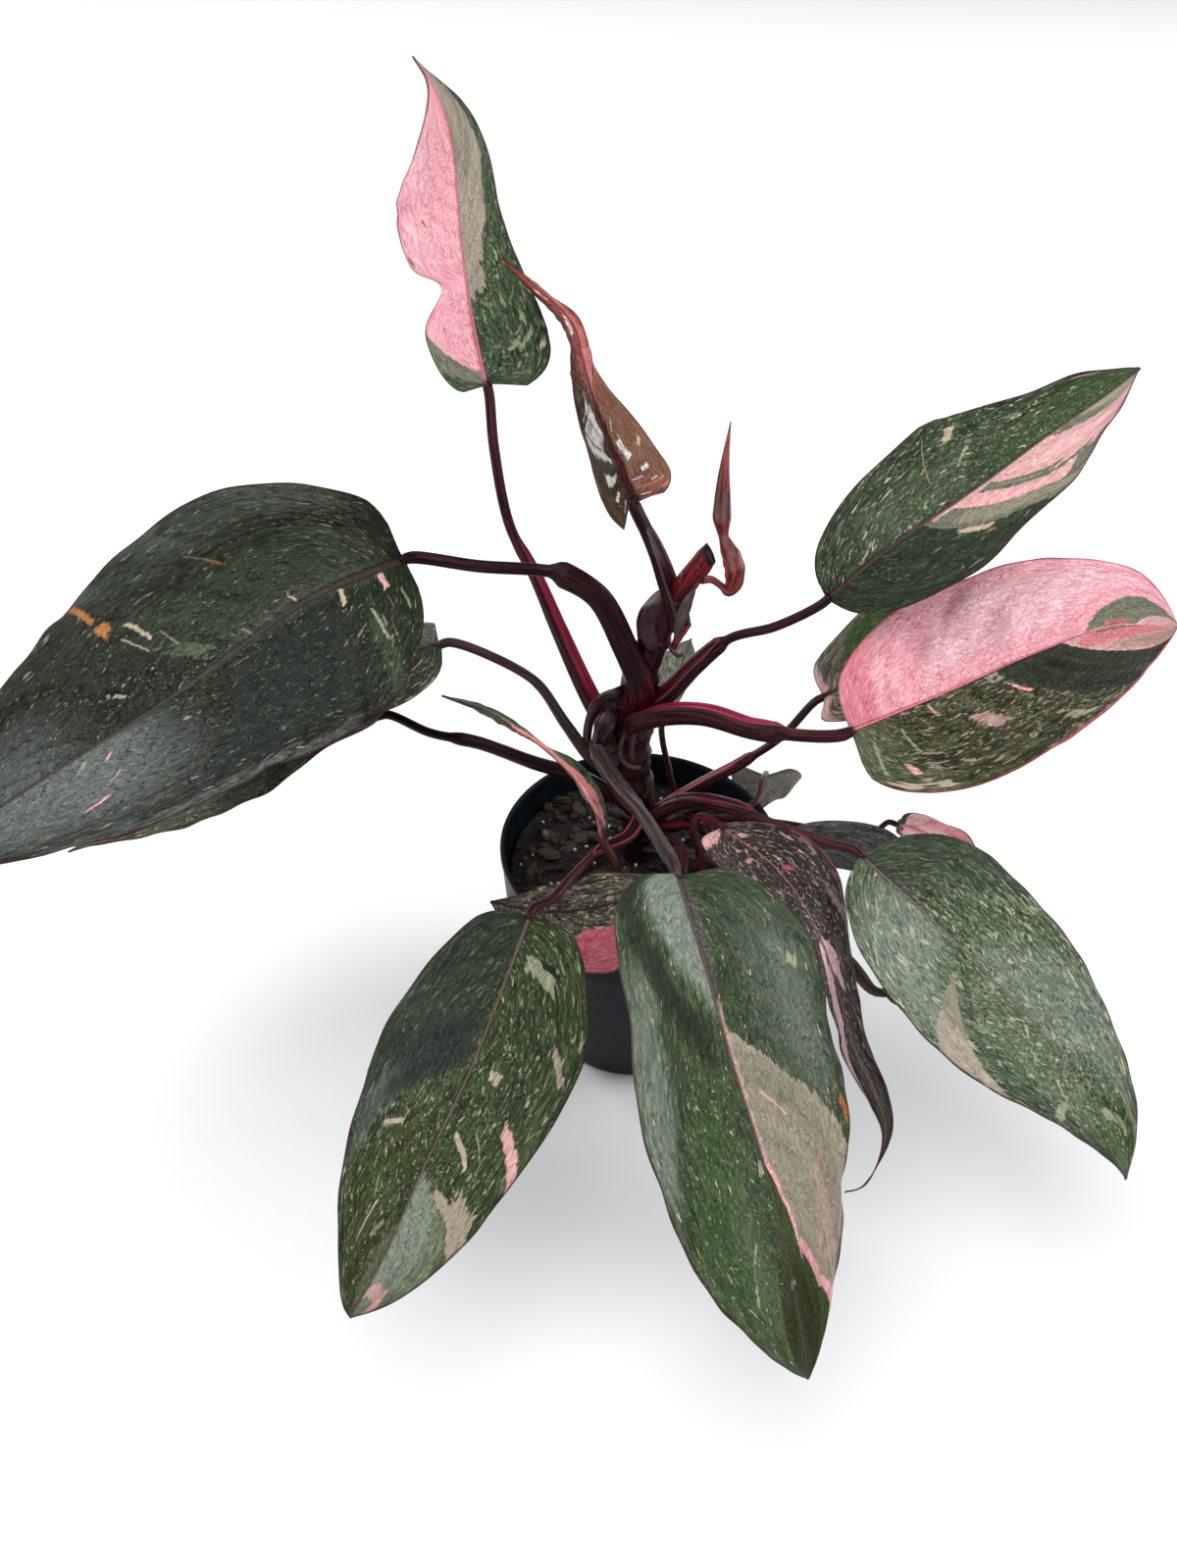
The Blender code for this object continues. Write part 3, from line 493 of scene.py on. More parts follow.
LEAVES = [
    leaf("tall",
         stalk=[(-6, 5, 128), (-17, 5, 146), (-30, 14, 170), (-38, 20, 186), (-47, 27, 200),
                (-53, 40, 220)],
         rib=[(-56, 51, 235), (-61, 61, 252), (-65, 72, 268), (-70, 93, 292), (-76, 106, 303),
              (-85, 117, 311)],
         left=half_shape(24, 0.53, 3.5, 0.8, 1.75, fold=(-15, 9), lobe=1.0, notches=[(0.27, 0.5, 0.055)]),
         right=half_shape(25.5, 0.11, 2.8, 0.8, 0.87, fold=(0, 7), lobe=5.0), roll=(-44, -49, 34),
         width=(7, 3.4), sheath=0.62, size=(20, 4), skew=70, hem=0.12, taper=0.9, quilt=0.05, crinkle=0.08),
    leaf("broad",
         stalk=[(-3, 3, 150), (-2, 0, 160), (-8, 2, 175), (-17, 6, 190), (-28, 7, 196), (-35, 7, 197),
                (-53, 4, 199)],
         rib=[(-75, 0, 202), (-96, -27, 204), (-119, -66, 200), (-137, -99, 200), (-160, -129, 195)],
         left=half_shape(43, 0.34, 1.95, 1.85, 0.77, fold=(6, 0), lobe=0, wave=1.2),
         right=half_shape(41, 0.42, 2.25, 1.55, 0.92, fold=(15, 1), lobe=6, wave=1.2,
                          notches=[(0.2, -0.07, 0.1), (0.48, -0.05, 0.1)]),
         roll=(-36, -6, -2), width=(8.5, 4), sheath=0.56, size=(16, 5), quilt=0.05, crinkle=0.09, skew=70,
         bulk=1.2, taper=0.2),
    leaf("middle",
         stalk=[(-7, 7, 116), (-18, -3, 134), (-26, 0, 144), (-36, 5, 156), (-52, 8, 164)],
         rib=[(-68, 8, 167), (-82, 1, 165), (-106, -10, 159), (-130, -26, 152), (-151, -41, 145)],
         left=half_shape(34, 0.36, 1.9, 1.55, 1.08, fold=(-6, 7), lobe=0),
         right=half_shape(34, 0.35, 3, 1.75, 1.04, fold=(-10, 1), lobe=5), roll=(1, 30, 8),
         width=(6.2, 3.4), sheath=0.62, size=(10, 3), skew=40, taper=0.85),
    leaf("lower",
         stalk=[(-5, 0, 104), (-15, -2, 120), (-24, -1, 124), (-37, -1, 128), (-55, 0, 134), (-72, 1, 136)],
         rib=[(-90, 3, 140), (-114, -6, 136), (-140, -21, 129), (-165, -37, 121), (-182, -47, 117)],
         left=half_shape(27, 0.41, 1.9, 1.3, 1.15, fold=(15, 7), lobe=6),
         right=half_shape(24, 0.21, 2.6, 1.7, 1.05, fold=(12, 4), lobe=5), roll=(13, -2, 13),
         width=(6, 3.4), sheath=0.72, size=(10, 3), skew=35, bulk=1.25),
    leaf("slim",
         stalk=[(-2, -27, 73), (-3, -29, 90), (-5, -31, 103), (-8, -32, 115)],
         rib=[(-12, -32, 125), (-15, -32, 139), (-24, -31, 152), (-36, -30, 163), (-49, -30, 172),
              (-60, -31, 176)],
         left=half_shape(9.7, 0.43, 2.2, 1.95, 0.91, fold=(11, -2), lobe=1, wave=0.4),
         right=half_shape(9, 0.34, 2.7, 1.5, 1.13, fold=(10, -9), lobe=1, wave=0.4), roll=(-12, 33, 17),
         width=(3.2, 3), sheath=0, sweep=3, size=(10, 2)),
    leaf("new",
         stalk=[(8.5, 2.8, 180), (7, 5, 187), (4, 8, 193.5), (0, 12, 202)],
         rib=[(-8, 20, 214), (-13, 26, 222), (-20, 33, 235), (-24, 38, 244), (-29, 45, 257), (-39, 49, 265),
              (-50, 53, 272)],
         left=half_shape(21, 0.11, 1.5, 0.8, 0.8, fold=(21, -15), lobe=12, notches=[(0.74, 0.3, 0.12)]),
         right=half_shape(19, 0.33, 3.6, 1.6, 1.17, fold=(14, -23), lobe=2,
                          notches=[(0.36, 0.3, 0.14), (0.74, 0.4, 0.12), (0.08, -0.06, 0.05)]),
         roll=(-5, 33, 16), width=(7.0, 4.4), sheath=0.78, size=(14, 3), crinkle=0.34, quilt=0.3, taper=1.0,
         hem=0.12),
    leaf("upper",
         stalk=[(-2, 5, 148), (6, 1, 158), (14, 3, 168), (24, 4, 178), (37, 4, 183)],
         rib=[(52, 7, 192), (71, 16, 207), (93, 27, 220), (115, 40, 233), (131, 50, 241), (141, 58, 246)],
         left=half_shape(27, 0.47, 1.9, 0.8, 0.8, fold=(19, 8),
                         notches=[(0.62, 0.04, 0.09), (0.86, -0.08, 0.09)]),
         right=half_shape(27, 0.28, 1.7, 1.3, 1.07, fold=(14, 0), lobe=3,
                          notches=[(0.46, 0.04, 0.07), (0.6, -0.09, 0.06), (0.76, 0.07, 0.06)]),
         roll=(21, 4, 36), width=(6.5, 3), sheath=0.52, skew=-25),
    leaf("pink",
         stalk=[(-6, -1, 147), (6, -8, 157), (18, -14, 162), (33, -20, 162), (47, -22, 162)],
         rib=[(61, -20, 163), (86, -11, 171), (116, 3, 179), (141, 15, 182), (167, 27, 176)],
         left=half_shape(30, 0.26, 1.85, 2.5, 0.71, fold=(11, 14)),
         right=half_shape(31, 0.25, 2.2, 1.8, 0.89, fold=(2, 3), lobe=5), roll=(28, 22, 37), width=(8, 4),
         sheath=0.72, size=(16, 4), crinkle=0.17, skew=-52),
    leaf("grey",
         stalk=[(2, 7, 98), (12, 7, 108), (22, 7, 117), (37, 9, 128), (46, 11, 136)],
         rib=[(58, 17, 148), (71, 21, 154), (86, 25, 161), (105, 33, 168), (121, 40, 172)],
         left=half_shape(25, 0.34, 1.7, 1.7, 1.05, fold=(9, 9), lobe=5),
         right=half_shape(22, 0.36, 2.35, 1.7, 1.05, fold=(8, 7), lobe=9), roll=(-4, 16, 0), width=(5.5, 3),
         sheath=0.58, size=(10, 3), skew=-30),
    leaf("arching",
         stalk=[(-1, 3, 97), (3, 0, 105), (13, 0, 113), (28, -5, 117), (44, -12, 116), (60, -19, 116)],
         rib=[(72, -25, 116), (96, -46, 107), (115, -62, 97), (134, -77, 84), (150, -92, 67),
              (155, -98, 56)],
         left=half_shape(35.5, 0.15, 1.5, 1.65, 0.85, fold=(3, 9), lobe=2.5),
         right=half_shape(36, 0.27, 1.6, 1.75, 1.18, fold=(3, 7), lobe=3), roll=(-3, 7, 2), width=(7, 3.6),
         sheath=0.55, size=(16, 4), crinkle=0.16, skew=-15),
    leaf("front",
         stalk=[(-7, 3, 134), (-15, -10, 141), (-8, -27, 142), (0, -41, 144), (7, -56, 145)],
         rib=[(11, -68, 146), (20, -96, 138), (27, -114, 126), (37, -131, 106), (47, -147, 78),
              (55, -161, 47)],
         left=half_shape(39, 0.16, 2.0, 1.3, 0.62, fold=(6, 3), lobe=7.5),
         right=half_shape(41, 0.45, 2.7, 1.4, 0.95, fold=(13, 11), lobe=-2,
                          notches=[(0.24, 0.09, 0.08), (0.48, 0.07, 0.07)]),
         roll=(-27, -17, -30), width=(6, 5.4), sheath=0, size=(16, 4), crinkle=0.16, flat=0.7),
    leaf("front_left",
         stalk=[(-3, 2, 99), (-1, -5, 108), (-4, -16, 110), (-13, -28, 114), (-20, -42, 117),
                (-26, -53, 117)],
         rib=[(-32, -61, 117), (-37, -83, 112), (-44, -106, 101), (-54, -127, 86), (-65, -147, 65),
              (-73, -157, 52)],
         left=half_shape(32, 0.29, 1.6, 1.6, 0.89, fold=(4, 6), lobe=5),
         right=half_shape(30, 0.46, 2.3, 1.0, 0.62, fold=(3, 7), lobe=3.5), roll=(0, 7, -9), width=(5, 3),
         sheath=0.55, size=(16, 4)),
    leaf("dusky",
         stalk=[(21, -19, 74), (22, -20, 91), (20, -18, 105), (17, -17, 117), (19, -17, 122)],
         rib=[(26, -23, 123), (44, -38, 120), (56, -53, 111), (65, -67, 94), (71, -76, 80), (78, -82, 69),
              (82.9, -87.9, 57.6), (81.5, -93.9, 47.8), (77.4, -98.4, 40.1), (72.3, -98.8, 37)],
         left=half_shape(20.5, 0.23, 1.8, 0.8, 1.4, fold=(9, 2), lobe=-2, notches=[(0.93, 0.85, 0.12)]),
         right=half_shape(23, 0.19, 1.85, 0.8, 1.6, fold=(15, -8), lobe=6, notches=[(0.93, 0.85, 0.12)]),
         roll=(0, -46, 69), width=(5.2, 3), sheath=0.5, size=(18, 3), crinkle=0.13, hem=0.1),
    leaf("rim",
         stalk=[(-1, 2, 90), (6, -9, 105), (13, -16, 108), (15, -25, 107)],
         rib=[(10, -36, 105), (-4, -43, 107), (-16, -48, 107), (-31, -51, 108), (-46, -50, 110)],
         left=half_shape(22, fold=(-38, -38), curl=(-34, -34)), right=half_shape(11, fold=(25, 25)),
         width=(3.6, 2.8), sheath=0, size=(10, 3)),
    leaf("small_back",
         stalk=[(2, 8, 86), (16, 12, 90), (30, 14, 94), (41, 20, 97), (44, 31, 97), (46, 39, 94)],
         rib=[(47, 44, 89), (48, 48, 81), (47, 52, 71), (46, 54, 61)],
         left=half_shape(14, 0.14, lobe=6), right=half_shape(14, 0.14, lobe=6), heading=0, width=(3, 2.4),
         sheath=0, size=(8, 3)),
    leaf("dark",
         stalk=[(1, 3, 92), (6, 1, 99), (23, 1, 101), (40, -2, 101)],
         rib=[(52, -5, 99), (67, -6, 100), (85, -9, 98), (104, -15, 93)],
         left=half_shape(14), right=half_shape(12), width=(4, 3), sheath=0.6, size=(8, 3)),
    leaf("small_pink",
         stalk=[(2, 5, 93), (14, 6, 99), (38, 9, 98), (56, 11, 95), (71, 12, 91), (84, 12, 93)],
         rib=[(91, 11, 98), (100, 7, 98), (112, 2, 94), (124, -5, 88)],
         left=half_shape(9), right=half_shape(9), width=(3, 2.2), sheath=0, size=(8, 3)),
    leaf("back",
         stalk=[(2, 8, 92), (11, 15, 98), (9, 15, 112), (6, 16, 124), (5, 18, 130)],
         rib=[(6, 25, 133), (9, 42, 131), (12, 60, 129), (15, 78, 127)],
         left=half_shape(10), right=half_shape(5.5), width=(3, 2.2), sheath=0, size=(8, 3), hem=0.1,
         crinkle=0.06),
    leaf("under",
         stalk=[(0, 2, 88), (14, -8, 96), (34, -18, 100), (44, -26, 99), (58, -35, 92), (72, -43, 84)],
         rib=[(82, -51, 80), (92, -53, 79), (107, -59, 76), (122, -67, 73)],
         left=half_shape(7), right=half_shape(6), width=(5, 5), sheath=0, size=(8, 2), flat=0.6),
]


class Bench:
    """Adds shader nodes to one tree and joins them."""

    def __init__(self, tree):
        self.tree = tree
        self.shader = tree.nodes.get("Principled BSDF")

    def feed(self, node, feeds):
        """Joins a socket or sets a value at each input named or numbered."""
        for key, value in feeds.items():
            if isinstance(value, bpy.types.NodeSocket):
                self.tree.links.new(value, node.inputs[key])
            else:
                node.inputs[key].default_value = value

    def add(self, kind, feeds=None, **settings):
        node = self.tree.nodes.new("ShaderNode" + kind)
        for key, value in settings.items():
            setattr(node, key, value)
        self.feed(node, feeds or {})
        return node

    def place(self, group, **feeds):
        node = self.add("Group", node_tree=group)
        self.feed(node, feeds)
        return node.outputs

    def math(self, operation, *values, clamp=False):
        return self.add("Math", dict(enumerate(values)), operation=operation, use_clamp=clamp).outputs[0]

    def times(self, first, second):
        return self.math("MULTIPLY", first, second)

    def less(self, first, second):
        return self.math("SUBTRACT", first, second)

    def ramp(self, value, slope, start, clamp=False):
        """value * slope + start"""
        return self.math("MULTIPLY_ADD", value, slope, start, clamp=clamp)

    def size(self, value):
        return self.math("ABSOLUTE", value)

    def vector(self, operation, first, second):
        return self.add("VectorMath", {0: first, 1: second}, operation=operation).outputs[0]

    def scaled(self, colour, factor):
        return self.add("VectorMath", {0: colour, 3: factor}, operation="SCALE").outputs[0]

    def parts(self, vector):
        return self.add("SeparateXYZ", {0: vector}).outputs

    def mix(self, share, first, second):
        feeds = {0: share}
        for key, colour in ((6, first), (7, second)):
            feeds[key] = colour if isinstance(colour, bpy.types.NodeSocket) else (*colour, 1.0)
        return self.add("Mix", feeds, data_type="RGBA").outputs[2]

    def rise(self, value, low, high):
        feeds = {"Value": value, "From Min": low, "From Max": high}
        return self.add("MapRange", feeds, interpolation_type="SMOOTHSTEP").outputs[0]

    def noise(self, where, detail=2.0, rough=0.5, scale=1.0):
        feeds = {"Vector": where, "Scale": scale, "Detail": detail, "Roughness": rough}
        return self.add("TexNoise", feeds).outputs["Fac"]

    def streaks(self, flow, seed, sizes, detail=1.0, rough=0.5, shift=0.0):
        """Noise drawn out over sizes in millimetres along flow, and moved by seed and shift."""
        if shift:
            seed = self.math("ADD", seed, shift)
        scaled = self.vector("MULTIPLY", flow, [1 / size for size in sizes])
        seeds = self.add("CombineXYZ", {0: seed, 1: seed, 2: seed}).outputs[0]
        return self.noise(self.vector("ADD", scaled, seeds), detail, rough)

    def finish(self, colour, rough, height, strength, distance):
        """Joins colour, roughness and a bump to the shader; distance is in millimetres."""
        bump = self.add("Bump", {"Height": height, "Strength": strength, "Distance": distance * MM})
        self.feed(self.shader, {"Base Color": colour, "Roughness": rough, "Normal": bump.outputs[0]})


# A group's input that takes a vector; any other one is given its default number
VECTOR = None


def new_group(name, inputs, outputs):
    """A shader node group, its outputs all numbers: a bench in it, and the sockets of its inputs."""
    tree = bpy.data.node_groups.new(name, "ShaderNodeTree")
    for label, value in inputs.items():
        kind = "NodeSocketVector" if value is VECTOR else "NodeSocketFloat"
        socket = tree.interface.new_socket(label, in_out="INPUT", socket_type=kind)
        if value is not VECTOR:
            socket.default_value = value
    for label in outputs:
        tree.interface.new_socket(label, in_out="OUTPUT", socket_type="NodeSocketFloat")
    return Bench(tree), tree.nodes.new("NodeGroupInput").outputs


def close_group(bench, **results):
    """Joins the results to the group's outputs of the same names."""
    bench.feed(bench.tree.nodes.new("NodeGroupOutput"), results)
    return bench.tree


def make_leaf_tissue():
    """Speckles, flecks, sectors and veins that run along the side veins of a blade."""
    bench, given = new_group("leaf tissue", dict(Flow=VECTOR, Seed=0.0, Fine=0.5, Coarse=0.5),
                             ("Grain", "Streak", "Speck", "Fleck", "Sector", "Vein", "Height"))
    flow, seed = given["Flow"], given["Seed"]
    bend = bench.ramp(bench.streaks(flow, seed, (15, 11, 1)), 7.0, -3.5)
    flow = bench.vector("ADD", flow, bench.add("CombineXYZ", {0: bend}).outputs[0])
    grain = bench.rise(bench.streaks(flow, seed, (0.45, 5.0, 1), 3, 0.6), 0.36, 0.66)
    streak = bench.rise(bench.streaks(flow, seed, (1.15, 24, 1), 3, 0.55, shift=6.3), 0.36, 0.64)
    fine = bench.streaks(flow, seed, (0.75, 3.0, 1))
    crowd = bench.streaks(flow, seed, (9, 16, 1), 2, shift=2.1)
    low = bench.ramp(given["Fine"], -0.17, bench.ramp(crowd, -0.25, 0.885))
    speck = bench.rise(fine, low, bench.math("ADD", low, 0.03))
    coarse = bench.streaks(flow, seed, (2.2, 6.5, 1), 1.5, shift=3.7)
    low = bench.ramp(given["Coarse"], -0.14, 0.745)
    fleck = bench.rise(coarse, low, bench.math("ADD", low, 0.012))
    sector = bench.rise(bench.streaks(flow, seed, (7, 34, 1), 3, 0.55, shift=9.1), 0.43, 0.57)
    along = bench.parts(flow)[0]
    wander = bench.streaks(flow, seed, (6, 9, 1))
    cell = bench.math("PINGPONG", bench.ramp(wander, 1.3, along), VEIN_SPACING / 2)
    vein = bench.less(1.0, bench.rise(cell, 0.1, 0.55))
    height = bench.ramp(streak, 0.9, bench.times(grain, 0.4))
    height = bench.ramp(vein, -0.8, height)
    return close_group(bench, Grain=grain, Streak=streak, Speck=speck, Fleck=fleck, Sector=sector,
                       Vein=vein, Height=height)


def make_leaf_sector():
    """Mask of a patch between two side veins and between two distances from the midrib, with torn edges."""
    bench, given = new_group(
        "leaf sector",
        dict(Flow=VECTOR, Place=VECTOR, Seed=0.0, Side=1.0, From=0.0, To=1.0, Inner=0.0, Outer=1.1,
             Lean=0.0, Splay=0.0, Jag=0.03, Bite=0.03, Soft=0.005),
        ("Mask",))
    flow, seed, soft = given["Flow"], given["Seed"], given["Soft"]
    share, signed, facing = bench.parts(given["Place"])
    away = bench.size(signed)
    both = bench.less(1.0, bench.size(given["Side"]))
    across = bench.ramp(away, both, bench.times(signed, given["Side"]))
    teeth = bench.less(bench.streaks(flow, seed, (2.8, 16, 1), 0.6), 0.5)
    bites = bench.less(bench.streaks(flow, seed, (6.5, 10, 1), 1.2), 0.5)
    push = bench.times(bench.times(teeth, bench.rise(away, 0.0, 0.12)), given["Jag"])
    side = bench.rise(across, -0.012, 0.0)
    across = bench.ramp(push, 6.0, across)
    along = bench.math("ADD", bench.times(bites, given["Bite"]), share)
    along = bench.ramp(given["Lean"], away, along)
    end = bench.ramp(given["Splay"], away, given["To"])
    wide = bench.times(soft, 3.0)
    mask = side
    for first, second, width in ((along, given["From"], soft), (end, along, soft),
                                 (across, given["Inner"], wide), (given["Outer"], across, wide)):
        mask = bench.times(mask, bench.rise(bench.less(first, second), 0.0, width))
    return close_group(bench, Mask=mask)


def make_leaf_edges():
    """Masks of the midrib, the painted shade beside it, the rim line and the underside of a blade."""
    bench, given = new_group("leaf edges", dict(Flow=VECTOR, Place=VECTOR, Width=1.2),
                             ("Rib", "Furrow", "Rim", "Under"))
    along, across, from_rim = bench.parts(given["Flow"])
    share, signed, facing = bench.parts(given["Place"])
    taper = bench.ramp(bench.math("POWER", share, 0.55), -0.78, 1.0)
    width = bench.times(given["Width"], taper)
    off = bench.size(across)
    # The furrow mask marks where painted shade darkens the blade beside the midrib
    rib = bench.less(1.0, bench.rise(off, bench.times(width, 0.45), width))
    furrow_shade = bench.less(1.0, bench.rise(off, width, bench.times(width, 2.0)))
    rim = bench.less(1.0, bench.rise(from_rim, 0.25, 0.75))
    return close_group(bench, Rib=rib, Furrow=furrow_shade, Rim=rim, Under=bench.rise(facing, 0.2, -0.2))


def make_stalk_streaks():
    """Long streaks, pale dots and fine ridges of a stalk."""
    bench, given = new_group("stalk streaks", dict(Flow=VECTOR, Seed=0.0),
                             ("Streak", "Line", "Dot", "Height"))
    flow, seed = given["Flow"], given["Seed"]
    streak = bench.rise(bench.streaks(flow, seed, (16, 0.9, 0.9), 4, 0.6), 0.36, 0.66)
    dot = bench.rise(bench.streaks(flow, seed, (0.75, 0.45, 0.45), shift=5.3), 0.735, 0.775)
    line = bench.rise(bench.streaks(flow, seed, (34, 0.55, 0.55), 2, shift=8.2), 0.54, 0.64)
    ridge = bench.streaks(flow, seed, (22, 0.35, 0.35), 2)
    return close_group(bench, Streak=streak, Line=line, Dot=dot, Height=bench.ramp(dot, 0.5, ridge))


def make_crumbs():
    """Lumps, grit and dust in three sizes, from a place in millimetres."""
    bench, given = new_group("crumbs and dust", dict(Where=VECTOR, Size=3.0),
                             ("Lump", "Dust", "Height"))
    near = bench.scaled(given["Where"], bench.math("DIVIDE", 1.0, given["Size"]))
    lump = bench.noise(near, 4, 0.6)
    grit = bench.add("TexVoronoi", {"Vector": near, "Scale": 3.0}).outputs["Distance"]
    dust = bench.rise(bench.noise(near, 8, 0.7, scale=5.0), 0.45, 0.75)
    return close_group(bench, Lump=lump, Dust=dust, Height=bench.ramp(grit, -0.5, lump))


def new_material(name, roughness, specular=0.5):
    surface = bpy.data.materials.new(name)
    surface.use_nodes = True
    bench = Bench(surface.node_tree)
    bench.feed(bench.shader, {"Roughness": roughness, "Specular IOR Level": specular})
    return surface, bench


def marks_of(bench):
    """The flow and place that add_piece stored on the mesh."""
    return [bench.add("Attribute", attribute_name=label).outputs["Vector"] for label in ("flow", "place")]


def object_place(bench):
    """The place on the resting plant in millimetres."""
    return bench.scaled(bench.add("TexCoord").outputs["Object"], 1 / MM)


def shade(colour, factor):
    return [factor * each for each in colour]


# The left and the right side of a blade
L = -1
R = 1

# Each tone is a light and a deep colour.
TONES = {
    "pink": (PINK, (0.86, 0.21, 0.30)),
    "white_pink": ((1.0, 0.74, 0.77), (1.0, 0.38, 0.46)),
    "rose": (ROSE, (0.50, 0.07, 0.12)),
    "blush": (BLUSH, (0.56, 0.25, 0.24)),
    "beige": (BEIGE, (0.25, 0.205, 0.155)),
    "grey": (GREY_GREEN, (0.10, 0.105, 0.07)),
    "pale": ((0.34, 0.37, 0.25), (0.19, 0.23, 0.13)),
    # Painted sheen: a pale grey-green sheen laid over the blades
    "pale_sheen": ((0.30, 0.34, 0.28), (0.10, 0.13, 0.10)),
    "cream": (CREAM, (0.42, 0.33, 0.24)),
    "green": ((0.052, 0.105, 0.022), (0.022, 0.050, 0.009)),
    "dark": ((0.018, 0.026, 0.013), (0.007, 0.012, 0.006)),
    # Painted sheen: a dim bluish sheen on dark green
    "bluish_sheen": ((0.026, 0.034, 0.030), (0.012, 0.016, 0.015)),
    "olive": ((0.060, 0.072, 0.020), (0.024, 0.032, 0.008)),
    "rust": (RUST, (0.25, 0.08, 0.02)),
    # Painted sheen: a silvery sheen, on the broad blade toward its tip and edges
    "silver_sheen": ((0.23, 0.25, 0.235), (0.055, 0.066, 0.060)),
    "salmon": ((0.78, 0.27, 0.25), (0.50, 0.12, 0.12)),
    "glint": ((0.98, 0.95, 0.92), (0.34, 0.29, 0.26)),
    "moss": ((0.22, 0.22, 0.15), (0.11, 0.115, 0.075)),
    "bark": ((0.056, 0.034, 0.018), (0.015, 0.008, 0.004)),
    "maroon": ((0.055, 0.010, 0.012), (0.022, 0.005, 0.006)),
    "ember": ((0.42, 0.10, 0.085), (0.13, 0.020, 0.018)),
    "copper": (COPPER, BRONZE),
    "leaf": ((0.056, 0.082, 0.022), (0.016, 0.026, 0.006)),
    "tip_olive": ((0.024, 0.030, 0.0015), (0.006, 0.008, 0.0004)),
    "mauve": ((0.125, 0.105, 0.110), (0.050, 0.040, 0.043)),
    "lichen": ((0.22, 0.27, 0.17), (0.055, 0.085, 0.040)),
}
# Tones of soft grounds, which lie below the specks
GROUNDS = ("pale_sheen", "lichen", "green", "olive", "mauve")


def patch(tone, side, *places, lean=0, splay=0, jag=30, soft=5, amount=1.0):
    """Coloured sectors of one tone on the left (L), the right (R) or both sides (0) of a blade.

    A place is start and stop along the side veins and, where it needs them, inner and outer across the
    blade. They, lean, splay, jag and soft are thousandths of the blade's length and half-width. lean
    draws a sector back toward the stalk as it nears the rim, splay widens it there, jag tears its edges
    and soft blurs them. amount is how much of the ground it covers.
    """
    sectors = []
    for place in places:
        start, stop, inner, outer = [*place, 0, 1100] if len(place) == 2 else [*place, 1100][:4]
        sizes = dict(From=start, To=stop, Inner=inner or -1000, Outer=outer, Lean=lean, Splay=splay,
                     Jag=jag, Bite=min(1.6 * jag, 0.7 * abs(stop - start)), Soft=soft)
        shape = {label: size / 1000 for label, size in sizes.items()}
        sectors.append(dict(tone=tone, amount=amount, shape=dict(shape, Side=float(side))))
    return sectors


def look(dark=LEAF_DARK, green=LEAF_GREEN, fine=0.5, coarse=0.5, speck=PALE_FLECK, fleck=CREAM,
         rib=MAROON_BROWN, rim=(0.06, 0.012, 0.014), under=(0.11, 0.085, 0.065), shine=0.34, gloss=0.18,
         rib_width=0.8, depth=2.2, patches=()):
    """Colours of a blade.

    fine and coarse are how many specks and flecks it has, shine its roughness, gloss its mirror share and
    depth how strongly the painted light and shade of the relief mark its colour. patches are lists of
    sectors, the first ones lowest.
    """
    sectors = [sector for group in patches for sector in group]
    return dict(dark=dark, green=green, fine=fine, coarse=coarse, speck=speck, fleck=fleck, rib=rib,
                rim=rim, under=under, shine=shine, gloss=gloss, rib_width=rib_width, depth=depth,
                sectors=sectors)
